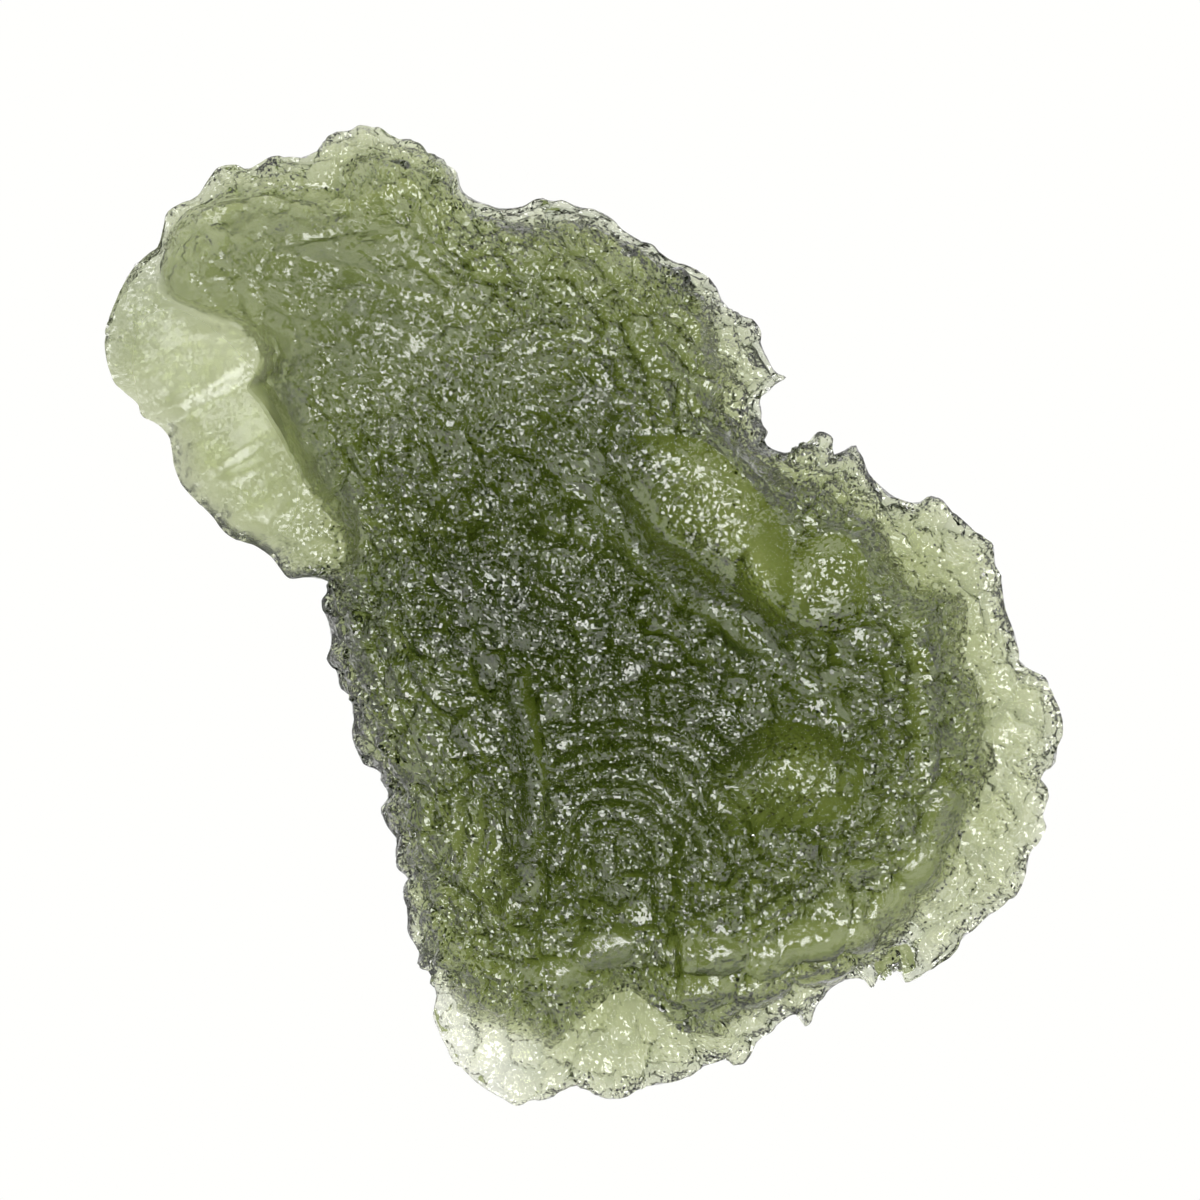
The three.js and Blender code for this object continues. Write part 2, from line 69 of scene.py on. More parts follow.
# How the net is laid and the patterns are worked out.
BLEND_REACH = 10  # spokes to each side whose values a spoke shares
CURVE_STEPS = 24  # steps between two drawn points when a curve's length is measured
NET_STAGES = ((8, 900), (4, 250), (2, 120), (1, 60))  # one in how many points, and sweeps
SWEEP_STEP = 0.9  # part of the way to its goal that a net point goes in one sweep
BLOCK_SIZE = 3000  # places whose distances are worked out together
SEED_SCATTER = 0.8  # part of its cube in which a cell's seed may lie
LATTICE_WAVES = (127.1, 311.7, 74.7)  # radians for a step along each axis of the lattice
LATTICE_SCALE = 43758.5453  # large, so that the fraction left over looks random


@dataclass(frozen=True)
class Stretch:
    """A stretch of the drawn edge, clockwise from above, in millimetres.

    rim is the height of the rim as a part of the body height, and foot the height of the
    foot of the ledge as a part of the height of its top. edge is the rim's thickness.
    bulge shapes the way up from rim to foot: below 1 hollow, 1 straight, 2 round.
    """

    outline: tuple[Point, ...]
    shelf: tuple[Point, ...]
    rim: float
    foot: float
    edge: float
    bulge: float


@dataclass(frozen=True)
class Patch:
    """A turned ellipse on the sheet, and what it adds in its middle.

    rise is in millimetres where the patch shapes the stone, and a part of 1 where it sets how dull
    or quiet the skin is, or how much shade is painted on it. Below 0 it is a hollow, or a place
    painted paler.
    """

    at: Point
    radii: Point
    turn: float
    rise: float

    def reach(self, x: Array, y: Array) -> Array:
        """Returns the squared distance from the middle, measured in the two radii."""
        u, v = ellipse_axes(x, y, self.at, self.turn)
        return (u / self.radii[0]) ** 2 + (v / self.radii[1]) ** 2

    def bell(self, x: Array, y: Array) -> Array:
        """Returns the rise times a bell curve over the ellipse."""
        return self.rise * np.exp(-self.reach(x, y))

    def dome(self, x: Array, y: Array) -> Array:
        """Returns the rise times a parabola over the ellipse, which is below 0 beside it."""
        return self.rise * (1 - self.reach(x, y))


@dataclass(frozen=True)
class Scoop:
    """A bowl etched into the upper side, as deep as this below the dome, and how smooth."""

    at: Point
    radii: Point
    turn: float
    depth: float
    calm: float


@dataclass(frozen=True)
class Fold:
    """A drawn line that stands up as a ridge or cuts in as a groove, and how smooth it is."""

    line: tuple[Point, ...]
    width: float
    height: float
    calm: float

    def bell(self, x: Array, y: Array) -> Array:
        """Returns a bell curve of the distance to the line, 1 on the line itself."""
        return np.exp(-(line_distance(x, y, self.line) / self.width) ** 2)


@dataclass(frozen=True)
class Fan:
    """Fine ridges, or grooves, on circles about a middle, inside a sector, like a fingerprint.

    facing and spread are the sector's turn and half its opening, in degrees.
    """

    middle: Point
    radii: Point
    facing: float
    spread: float
    spacing: float
    height: float
    side_fade: float = 12.0  # degrees
    end_fade: float = 0.3
    sharpness: float = 1.5

    def radius(self, x: Array, y: Array) -> Array:
        """Returns the distance from the middle."""
        return np.hypot(x - self.middle[0], y - self.middle[1])

    def inside(self, x: Array, y: Array) -> Array:
        """How far a place lies inside the sector: S-curves from its sides and its two ends.

        Args:
            x, y: Places on the sheet.

        Returns:
            1 well inside the sector, 0 at its borders and beyond.
        """
        radius = self.radius(x, y)
        turn = np.degrees(np.arctan2(y - self.middle[1], x - self.middle[0]))
        aside = np.abs((turn - self.facing + 180) % 360 - 180)
        reach = np.minimum(radius - self.radii[0], self.radii[1] - radius)
        return smooth((self.spread - aside) / self.side_fade) * smooth(reach / self.end_fade)

    def ridges(self, x: Array, y: Array) -> Array:
        """Returns narrow crests, a power of 1 less the size of a sine of the distance."""
        wave = np.abs(np.sin(math.pi * self.radius(x, y) / self.spacing))
        return self.height * self.inside(x, y) * (1 - wave) ** self.sharpness


# The edge, clockwise.
BROW = Stretch(
    outline=((3.95, 23.8), (4.1, 24.3), (4.2, 24.7), (4.55, 24.9), (4.95, 25.1), (5.15, 25.4),
        (5.35, 25.7), (5.6, 25.85), (5.9, 25.9), (6.2, 25.8), (6.45, 25.9), (6.75, 26.05),
        (7.2, 26.1), (7.6, 26.1)),
    shelf=((4.15, 23.4), (4.3, 24.05), (4.65, 24.45), (5.0, 24.7), (5.55, 24.95), (6.1, 25.05),
        (6.9, 25.05), (7.75, 24.9)),
    rim=0.36, foot=0.9, edge=1.1, bulge=1.2)
CROWN = Stretch(
    outline=((8.0, 26.3), (8.2, 26.6), (8.4, 26.7), (8.65, 26.7), (8.9, 26.85), (9.2, 26.85),
        (9.5, 26.8), (9.8, 26.6), (10.1, 26.5), (10.5, 26.3), (10.85, 26.1), (11.15, 25.9),
        (11.4, 25.75), (11.5, 25.45)),
    shelf=((8.45, 24.9), (8.7, 25.2), (8.8, 25.55), (9.05, 25.85), (9.5, 26.0), (10.0, 25.85),
        (10.5, 25.75), (10.95, 25.75), (11.2, 25.45)),
    rim=0.34, foot=0.86, edge=0.9, bulge=1.1)
NORTH_EAST_RIM = Stretch(
    outline=((11.6, 25.2), (11.9, 25.0), (12.2, 24.9), (12.5, 24.8), (12.8, 24.8), (13.1, 24.85),
        (13.35, 25.0), (13.6, 25.05), (13.8, 24.95), (14.0, 25.0), (14.3, 24.9), (14.6, 24.8),
        (14.9, 24.75), (15.3, 24.55), (15.5, 24.3), (15.7, 24.15), (16.0, 24.0), (16.3, 23.9),
        (16.5, 23.7), (16.8, 23.5), (17.1, 23.4), (17.5, 23.2), (17.8, 23.0)),
    shelf=((11.4, 25.05), (12.0, 24.55), (12.75, 24.3), (13.6, 24.4), (14.5, 24.35), (15.1, 24.1),
        (15.75, 23.75), (16.4, 23.35), (17.0, 23.0)),
    rim=0.38, foot=0.64, edge=0.4, bulge=1.1)
HOOK = Stretch(
    outline=((17.95, 22.8), (18.05, 22.5), (18.3, 22.2), (18.6, 22.1), (18.85, 22.0),
        (19.0, 21.75), (19.05, 21.4), (19.2, 21.05), (19.4, 20.7), (19.65, 20.55), (19.4, 20.4),
        (19.2, 20.2), (19.0, 20.05), (19.05, 19.7), (19.05, 19.4), (19.2, 19.2)),
    shelf=((17.45, 22.6), (17.5, 22.1), (17.4, 21.6), (17.55, 21.1), (17.75, 20.55),
        (17.65, 20.05), (17.8, 19.6)),
    rim=0.36, foot=0.66, edge=0.3, bulge=1.0)
NOTCH = Stretch(
    outline=((19.1, 19.0), (19.25, 18.8), (19.6, 18.7), (20.0, 18.8), (20.3, 19.0), (20.4, 19.2),
        (20.6, 19.2), (20.8, 19.05), (20.85, 18.65), (21.1, 18.75), (21.4, 18.9), (21.55, 18.6),
        (21.7, 18.2)),
    shelf=((18.05, 19.1), (18.45, 18.5), (19.0, 17.9), (19.7, 17.55), (20.3, 17.5), (20.65, 17.1),
        (21.25, 16.95)),
    rim=0.34, foot=0.7, edge=0.4, bulge=1.1)
EAST_LIP = Stretch(
    outline=((22.0, 17.9), (22.4, 17.6), (22.95, 17.45), (23.25, 17.6), (23.55, 17.5),
        (23.8, 17.2), (24.15, 16.9), (24.55, 16.6), (24.85, 16.35), (24.9, 15.9), (25.05, 15.6),
        (25.1, 15.0), (25.2, 14.55), (25.4, 14.1), (25.5, 13.75), (25.5, 13.5), (25.8, 13.25),
        (26.1, 13.1), (26.3, 12.7), (26.5, 12.25)),
    shelf=((21.7, 16.75), (21.9, 16.25), (22.1, 15.6), (22.4, 15.2), (22.9, 15.0), (23.55, 15.0),
        (23.6, 14.3), (23.6, 13.6), (23.9, 13.05)),
    rim=0.32, foot=0.6, edge=0.9, bulge=1.2)
SOUTH_EAST_LIP = Stretch(
    outline=((26.6, 11.7), (26.45, 11.3), (26.4, 10.9), (26.0, 10.55), (26.2, 10.3),
        (26.25, 10.05), (26.1, 9.7), (26.15, 9.3), (26.0, 9.0), (25.75, 8.6), (25.7, 8.25),
        (25.5, 7.8), (25.2, 7.45), (24.8, 7.15), (24.4, 6.8), (24.1, 6.55), (23.9, 6.15),
        (23.5, 5.9), (23.05, 5.6), (22.6, 5.45), (22.55, 5.75)),
    shelf=((24.3, 12.4), (24.3, 11.6), (24.4, 11.05), (24.15, 10.6), (24.0, 10.05), (23.65, 9.45),
        (23.55, 8.75), (23.2, 8.2), (22.7, 7.6), (22.5, 6.9)),
    rim=0.33, foot=0.62, edge=0.9, bulge=1.2)
SOUTH_RIM = Stretch(
    outline=((22.5, 6.0), (22.2, 5.8), (21.95, 5.55), (21.8, 5.3), (21.6, 5.5), (21.2, 5.5),
        (20.9, 5.35), (20.65, 5.15), (20.4, 4.8), (20.3, 4.5), (20.15, 4.3), (19.95, 4.65),
        (19.6, 4.5), (19.3, 4.2)),
    shelf=((22.35, 6.3), (21.95, 6.05), (21.45, 5.95), (20.9, 5.8), (20.25, 5.65), (19.65, 5.5),
        (19.1, 5.3), (18.6, 5.0)),
    rim=0.34, foot=0.66, edge=0.45, bulge=1.1)
SOUTH_LIP = Stretch(
    outline=((19.0, 4.0), (18.75, 3.6), (18.55, 3.4), (18.15, 3.5), (17.8, 3.4), (17.45, 3.25),
        (17.2, 3.05), (16.6, 2.9), (16.1, 2.8), (15.7, 2.6), (15.3, 2.5), (14.9, 2.6), (14.7, 2.8),
        (14.3, 2.8), (14.0, 2.7), (13.7, 2.5)),
    shelf=((18.05, 4.7), (17.6, 4.4), (17.1, 4.45), (16.7, 4.7), (16.25, 5.1), (15.95, 5.6),
        (15.5, 5.7), (15.05, 5.5), (14.7, 5.2), (14.4, 4.7)),
    rim=0.32, foot=0.6, edge=0.8, bulge=1.2)
SOUTH_WEST_LIP = Stretch(
    outline=((13.3, 2.5), (13.0, 2.35), (12.6, 2.5), (12.2, 2.7), (11.8, 3.0), (11.55, 3.3),
        (11.3, 3.45), (11.15, 3.8), (10.95, 4.2), (10.8, 4.6), (10.9, 5.1), (10.8, 5.4)),
    shelf=((14.0, 4.3), (13.5, 4.5), (12.9, 4.7), (12.25, 4.85), (11.75, 5.0), (11.65, 5.25),
        (11.3, 5.5)),
    rim=0.28, foot=0.44, edge=0.2, bulge=1.0)
WEST_WALL = Stretch(
    outline=((10.8, 5.6), (10.55, 5.95), (10.4, 6.35), (10.2, 6.75), (10.2, 7.15), (10.1, 7.55),
        (10.1, 7.9), (10.2, 8.05), (9.9, 8.3), (9.9, 8.65), (9.9, 9.0), (9.65, 9.4), (9.5, 9.8),
        (9.7, 10.1), (9.6, 10.4), (9.5, 10.7), (9.1, 10.9), (8.9, 11.25), (8.8, 11.7),
        (8.85, 12.2), (8.75, 12.6), (8.5, 12.8), (8.4, 13.2), (8.25, 13.5), (8.3, 13.9),
        (8.2, 14.45), (8.1, 14.95)),
    shelf=((11.1, 5.85), (11.0, 6.5), (10.85, 7.25), (10.75, 8.0), (10.55, 8.75), (10.3, 9.5),
        (10.2, 10.25), (9.95, 10.8), (9.55, 11.4), (9.45, 12.1), (9.15, 12.75), (8.95, 13.5),
        (8.85, 14.25), (8.75, 14.9)),
    rim=0.38, foot=0.76, edge=0.4, bulge=1.3)
WEST_LIP = Stretch(
    outline=((8.25, 15.3), (8.2, 15.45), (7.6, 15.55), (7.25, 15.55), (7.0, 15.8), (6.75, 16.1),
        (6.4, 16.35), (5.9, 16.5), (5.6, 16.7), (5.3, 17.1), (4.9, 17.5), (4.55, 17.9),
        (4.35, 18.4), (4.3, 18.8), (4.25, 19.05), (3.95, 19.4), (3.55, 19.6), (3.45, 19.9),
        (3.1, 20.2), (2.85, 20.45), (2.7, 20.9), (2.6, 21.4), (2.7, 21.95), (2.9, 22.45),
        (3.1, 22.9), (3.4, 23.35), (3.8, 23.7)),
    shelf=((8.8, 15.4), (9.0, 16.0), (9.15, 16.5), (9.05, 16.95), (8.75, 17.4), (8.3, 17.95),
        (7.95, 18.55), (7.6, 19.2), (7.3, 19.7), (7.05, 20.1), (6.75, 20.5), (7.0, 20.95),
        (6.9, 21.45), (6.55, 21.9), (5.8, 22.15), (5.1, 22.35), (4.6, 22.5), (4.25, 22.85),
        (4.1, 23.25)),
    rim=0.32, foot=0.62, edge=1.6, bulge=1.5)

# The sides of the net: north, east, south and west.
SIDES = (
    (BROW, CROWN, NORTH_EAST_RIM),
    (HOOK, NOTCH, EAST_LIP, SOUTH_EAST_LIP),
    (SOUTH_RIM, SOUTH_LIP, SOUTH_WEST_LIP),
    (WEST_WALL, WEST_LIP),
)

# Broad rises and hollows of the upper side.
SWELLS = (
    Patch(at=(7.6, 22.6), radii=(4.2, 2.8), turn=-20, rise=0.25),
    Patch(at=(12.2, 16.6), radii=(3.2, 0.6), turn=-8, rise=-0.4),
    Patch(at=(17.9, 14.6), radii=(4.6, 0.8), turn=-44, rise=0.4),
    Patch(at=(13.3, 10.0), radii=(0.5, 3.0), turn=8, rise=0.35),
    Patch(at=(23.0, 12.5), radii=(0.5, 2.2), turn=0, rise=0.2),
    Patch(at=(22.7, 6.2), radii=(1.1, 1.1), turn=0, rise=-1.6),
)

# Bowls, of which the deeper ones show as glassy windows.
SCOOPS = (
    Scoop(at=(17.8, 17.1), radii=(2.9, 1.7), turn=-40, depth=1.1, calm=0.78),
    Scoop(at=(19.1, 15.9), radii=(1.5, 1.0), turn=-55, depth=1.4, calm=0.97),
    Scoop(at=(20.6, 15.4), radii=(1.5, 1.35), turn=20, depth=0.95, calm=0.8),
    Scoop(at=(19.7, 10.5), radii=(2.0, 1.4), turn=8, depth=1.25, calm=0.6),
    Scoop(at=(22.5, 8.5), radii=(0.8, 0.65), turn=-45, depth=0.5, calm=0.6),
    Scoop(at=(12.0, 8.6), radii=(1.2, 2.1), turn=14, depth=0.6, calm=0.1),
    Scoop(at=(10.7, 11.15), radii=(0.6, 0.55), turn=0, depth=0.4, calm=0.8),
)

# The dull, smooth skin of the north-west lobe and of the west lip.
SMOOTH_PATCHES = (
    Patch(at=(7.4, 22.6), radii=(4.2, 2.5), turn=-20, rise=0.6),
    Patch(at=(5.4, 19.4), radii=(4.0, 1.9), turn=-60, rise=1.0),
)

# Where the plates are weaker.
QUIET = Patch(at=(12.5, 20.9), radii=(5.0, 3.2), turn=-25, rise=0.5)

# Painted shade and painted light: places whose skin is painted darker, or paler with a minus.
PAINTED_SHADES = (
    Patch(at=(11.6, 14.6), radii=(3.8, 1.8), turn=-10, rise=0.5),
    Patch(at=(15.0, 7.0), radii=(3.0, 1.6), turn=0, rise=0.1),
    Patch(at=(11.8, 11.6), radii=(2.0, 1.8), turn=0, rise=0.3),
    Patch(at=(15.9, 18.5), radii=(1.7, 0.5), turn=-55, rise=0.5),
    Patch(at=(18.4, 11.2), radii=(1.6, 0.5), turn=-50, rise=0.5),
    Patch(at=(21.5, 14.0), radii=(2.0, 1.0), turn=-60, rise=0.2),
    Patch(at=(19.0, 15.9), radii=(1.3, 1.0), turn=-55, rise=-0.4),
    Patch(at=(11.8, 3.9), radii=(1.8, 1.4), turn=0, rise=-0.3),
    Patch(at=(5.9, 19.2), radii=(3.6, 1.3), turn=-55, rise=0.25),
    Patch(at=(3.4, 22.2), radii=(1.4, 1.8), turn=0, rise=0.35),
    Patch(at=(8.5, 22.6), radii=(4.0, 2.0), turn=-20, rise=0.3),
    Patch(at=(7.0, 25.3), radii=(3.0, 0.8), turn=12, rise=0.15),
    Patch(at=(11.5, 20.0), radii=(4.5, 3.2), turn=-20, rise=-0.16),
)

# Ridges, grooves and cracks.
FOLDS = (
    Fold(line=((14.75, 18.0), (16.0, 16.5), (17.5, 15.25), (19.0, 14.1), (20.0, 13.0),
               (21.0, 12.0)),
         width=0.42, height=0.22, calm=0.6),
    Fold(line=((14.3, 17.4), (15.7, 15.9), (17.2, 14.6), (18.6, 13.5)),
         width=0.1, height=-0.14, calm=0.0),
    Fold(line=((22.95, 14.5), (23.1, 12.5), (23.15, 10.5)), width=0.3, height=0.22, calm=0.5),
    Fold(line=((22.5, 14.2), (22.65, 12.4), (22.7, 10.8)), width=0.09, height=-0.15, calm=0.0),
    Fold(line=((13.0, 13.0), (13.2, 11.5), (13.4, 10.5), (13.35, 9.2), (13.1, 8.0), (12.6, 7.0)),
         width=0.24, height=0.34, calm=0.5),
    Fold(line=((13.75, 10.2), (13.8, 9.2), (13.75, 8.0), (13.5, 6.9)),
         width=0.1, height=-0.24, calm=0.0),
    Fold(line=((16.9, 9.0), (16.82, 7.2), (16.95, 5.3)), width=0.07, height=-0.3, calm=0.0),
    Fold(line=((14.6, 9.2), (14.35, 8.3), (14.5, 7.3), (14.3, 6.6)),
         width=0.13, height=0.14, calm=0.0),
    Fold(line=((11.35, 8.0), (11.9, 7.4), (12.2, 6.6)), width=0.1, height=-0.16, calm=0.0),
    Fold(line=((12.0, 8.0), (12.45, 7.4), (12.6, 6.6)), width=0.09, height=-0.14, calm=0.0),
    Fold(line=((9.5, 16.9), (11.0, 16.6), (12.8, 16.9), (14.4, 16.4)),
         width=0.12, height=-0.16, calm=0.0),
    Fold(line=((5.0, 24.4), (6.4, 24.9), (7.8, 24.8), (9.0, 25.0), (10.3, 25.4)),
         width=0.13, height=0.16, calm=0.4),
    Fold(line=((10.2, 5.9), (11.5, 6.1), (12.6, 5.6), (14.0, 5.4)),
         width=0.16, height=0.2, calm=0.0),
    Fold(line=((4.6, 23.6), (8.5, 22.2), (11.5, 21.2)), width=0.12, height=0.05, calm=0.0),
    Fold(line=((5.4, 24.2), (9.5, 22.9), (12.2, 22.2)), width=0.1, height=0.06, calm=0.0),
    Fold(line=((6.2, 22.1), (9.0, 20.9), (11.0, 20.1)), width=0.12, height=0.06, calm=0.0),
    Fold(line=((7.4, 23.9), (10.2, 24.4), (11.2, 23.2), (13.0, 22.9)),
         width=0.1, height=-0.08, calm=0.0),
)

# The fingerprint in the middle, and fainter sets of arcs around it.
FANS = (
    Fan(middle=(15.35, 8.5), radii=(0.7, 3.8), facing=62, spread=64, spacing=0.5, height=-0.2),
    Fan(middle=(10.1, 9.4), radii=(0.9, 2.7), facing=-20, spread=45, spacing=0.42, height=-0.12),
    Fan(middle=(20.3, 15.0), radii=(1.6, 5.0), facing=135, spread=40, spacing=0.42, height=0.035),
    Fan(middle=(17.6, 11.6), radii=(0.5, 3.4), facing=-30, spread=50, spacing=0.4, height=0.06),
    Fan(middle=(16.1, 6.3), radii=(-0.5, 0.6), facing=0, spread=190, spacing=0.6, height=0.12),
    Fan(middle=(13.9, 19.8), radii=(0.5, 2.2), facing=120, spread=70, spacing=0.4, height=0.06),
)

# Thin shells that overlap along the south rim.
SHELLS = (
    Patch(at=(13.9, 5.7), radii=(0.9, 0.5), turn=10, rise=0.2),
    Patch(at=(15.1, 6.3), radii=(0.8, 0.5), turn=15, rise=0.2),
    Patch(at=(17.7, 6.2), radii=(1.15, 0.55), turn=0, rise=0.24),
    Patch(at=(17.6, 5.3), radii=(0.9, 0.45), turn=0, rise=0.2),
    Patch(at=(19.15, 6.05), radii=(0.7, 0.5), turn=15, rise=0.2),
    Patch(at=(20.3, 6.5), radii=(1.0, 0.55), turn=5, rise=0.22),
    Patch(at=(21.5, 6.6), radii=(0.6, 0.45), turn=20, rise=0.2),
    Patch(at=(20.6, 5.7), radii=(0.85, 0.4), turn=15, rise=0.18),
    Patch(at=(19.0, 5.2), radii=(0.9, 0.4), turn=15, rise=0.18),
    Patch(at=(22.3, 7.3), radii=(0.7, 0.5), turn=40, rise=0.2),
    Patch(at=(23.0, 8.3), radii=(0.8, 0.5), turn=60, rise=0.2),
    Patch(at=(23.6, 9.6), radii=(0.8, 0.45), turn=70, rise=0.2),
)


def mix(low: Array | float, high: Array | float, part: Array | float) -> Array:
    """Returns the value that lies part of the way from low to high."""
    return low + (high - low) * part


def smooth(part: Array) -> Array:
    """Returns the S-curve 3t^2 - 2t^3 of a part clipped to 0 to 1."""
    t = np.clip(part, 0.0, 1.0)
    return t * t * (3.0 - 2.0 * t)


def ellipse_axes(x: Array, y: Array, at: Point, turn: float) -> tuple[Array, Array]:
    """Offsets from a middle, measured along the axes of a turned ellipse.

    Args:
        x, y: Plan places in millimetres.
        at: The ellipse's middle.
        turn: Its turn in degrees, anticlockwise.

    Returns:
        The offsets along its first and second axis.
    """
    c, s = math.cos(math.radians(turn)), math.sin(math.radians(turn))
    return (x - at[0]) * c + (y - at[1]) * s, (y - at[1]) * c - (x - at[0]) * s


def lattice(i: Array, j: Array, k: Array | float = 0.0) -> Array:
    """A fixed value for each whole-numbered lattice place: the fraction of a large sine wave.

    Args:
        i, j, k: Whole-numbered places.

    Returns:
        Values from -0.5 to 0.5.
    """
    turn = i * LATTICE_WAVES[0] + j * LATTICE_WAVES[1] + k * LATTICE_WAVES[2]
    wave = np.sin(turn) * LATTICE_SCALE
    return wave - np.floor(wave) - 0.5


def lump_height(x: Array, y: Array, size: float) -> Array:
    """Smooth lumps: lattice values at the corners of squares, blended in between.

    Args:
        x, y: Plan places in millimetres.
        size: Side of the squares.

    Returns:
        Heights from -0.5 to 0.5.
    """
    i, j = np.floor(x / size), np.floor(y / size)
    u, v = smooth(x / size - i), smooth(y / size - j)
    near = mix(lattice(i, j), lattice(i + 1, j), u)
    far = mix(lattice(i, j + 1), lattice(i + 1, j + 1), u)
    return mix(near, far, v)


def grain(place: Array, size: float, seed: float = 0.0) -> Array:
    """Smooth lumps in space: lattice values at the corners of cubes, blended in between.

    Args:
        place: Places in millimetres, one row of x, y and z each.
        size: Side of the cubes.
        seed: Shifts the pattern.

    Returns:
        Heights from -0.5 to 0.5.
    """
    scaled = place / size + seed
    low = np.floor(scaled)
    u, v, w = smooth(scaled - low).T
    i, j, k = low.T
    floors = []
    for level in (k, k + 1):
        near = mix(lattice(i, j, level), lattice(i + 1, j, level), u)
        far = mix(lattice(i, j + 1, level), lattice(i + 1, j + 1, level), u)
        floors.append(mix(near, far, v))
    return mix(floors[0], floors[1], w)


def cells(place: Array, size: float, seed: float = 0.0) -> tuple[Array, Array, Array, Array]:
    """Cells about scattered seeds, one in each lattice cube, each with a slant of its own.

    Args:
        place: Places in millimetres, one row of x, y and z each.
        size: Side of the cubes.
        seed: Shifts the pattern.

    Returns:
        The distances to the nearest and the next seed and the height of the nearest seed's
        slanted plane, all in cube sides, and a value from -0.5 to 0.5 for the nearest seed.
    """
    scaled = place / size + seed
    home = np.floor(scaled)
    near, beyond = np.full((2, len(place)), np.inf)
    plane, tone = np.zeros((2, len(place)))
    for step in np.stack(np.meshgrid(*[(-1, 0, 1)] * 3, indexing="ij"), axis=-1).reshape(-1, 3):
        cube = home + step
        i, j, k = cube.T
        value = np.stack([lattice(i, j, k), lattice(j, k, i), lattice(k, i, j)], axis=1)
        away = scaled - cube - 0.5 - SEED_SCATTER * value
        gap = np.linalg.norm(away, axis=1)
        slant = np.stack([lattice(k, j, i), lattice(i, k, j)], axis=1)
        plane = np.where(gap < near, (away[:, :2] * slant).sum(axis=1), plane)
        tone = np.where(gap < near, lattice(j, i, k), tone)
        beyond = np.minimum(beyond, np.maximum(near, gap))
        near = np.minimum(near, gap)
    return near, beyond, plane, tone


def line_distance(x: Array, y: Array, line: tuple[Point, ...]) -> Array:
    """Distance to a drawn line: the least of the distances to its straight pieces.

    Args:
        x, y: Places on the sheet.
        line: The line's points.

    Returns:
        Distances in millimetres.
    """
    gap = np.full(x.shape, np.inf)
    for (ax, ay), (bx, by) in zip(line, line[1:]):
        dx, dy = bx - ax, by - ay
        run = np.clip(((x - ax) * dx + (y - ay) * dy) / (dx ** 2 + dy ** 2), 0, 1)
        gap = np.minimum(gap, np.hypot(x - mix(ax, bx, run), y - mix(ay, by, run)))
    return gap


def nearest(places: Array, marks: Array) -> tuple[Array, Numbers]:
    """The mark nearest to each place, worked out in blocks to spare memory.

    Args:
        places: Plan places, one row of x and y each.
        marks: Plan places of the marks.

    Returns:
        The distance to the nearest mark, and its number.
    """
    gaps, numbers = [], []
    for block in np.array_split(places, 1 + len(places) // BLOCK_SIZE):
        spread = np.hypot(*(block[:, None] - marks[None]).transpose(2, 0, 1))
        numbers.append(spread.argmin(axis=1))
        gaps.append(spread.min(axis=1))
    return np.concatenate(gaps), np.concatenate(numbers)


@dataclass(frozen=True)
class ClosedCurve:
    """A smooth closed curve through drawn points."""

    points: Array

    def at(self, run: Array) -> Array:
        """Points on the curve: a centripetal Catmull-Rom curve, which blends three straight
        lines, then two, then one, with knots spaced by the root of the points' distance.

        Args:
            run: Where to read it, 0 at the first drawn point, 1 at the second and so on.

        Returns:
            Plan places, one row of x and y each.
        """
        count = len(self.points)
        first = np.floor(run).astype(int)
        p = [self.points[(first + step) % count] for step in (-1, 0, 1, 2)]
        gaps = [np.sqrt(np.linalg.norm(p[n + 1] - p[n], axis=1)) for n in range(3)]
        knots = [np.zeros(len(run))]
        for gap in gaps:
            knots.append(knots[-1] + gap)
        t = mix(knots[1], knots[2], run - first)
        level = p
        for reach in (1, 2, 3):
            blended = []
            for n in range(4 - reach):
                low, high = (knots[n], knots[n + reach]) if reach < 3 else (knots[1], knots[2])
                blended.append(mix(level[n], level[n + 1], ((t - low) / (high - low))[:, None]))
            level = blended
        return level[0]

    def evenly(self, start: int, end: int, count: int) -> Array:
        """Points spaced evenly along the curve from one drawn point up to before another.

        Args:
            start, end: Numbers of the two drawn points.
            count: How many points to make.

        Returns:
            Plan places, one row of x and y each.
        """
        run = np.linspace(start, end, (end - start) * CURVE_STEPS + 1)
        fine = self.at(run)
        length = np.concatenate([[0.0], np.cumsum(np.linalg.norm(np.diff(fine, axis=0), axis=1))])
        goals = np.arange(count) / count * length[-1]
        return self.at(np.interp(goals, length, run) % len(self.points))


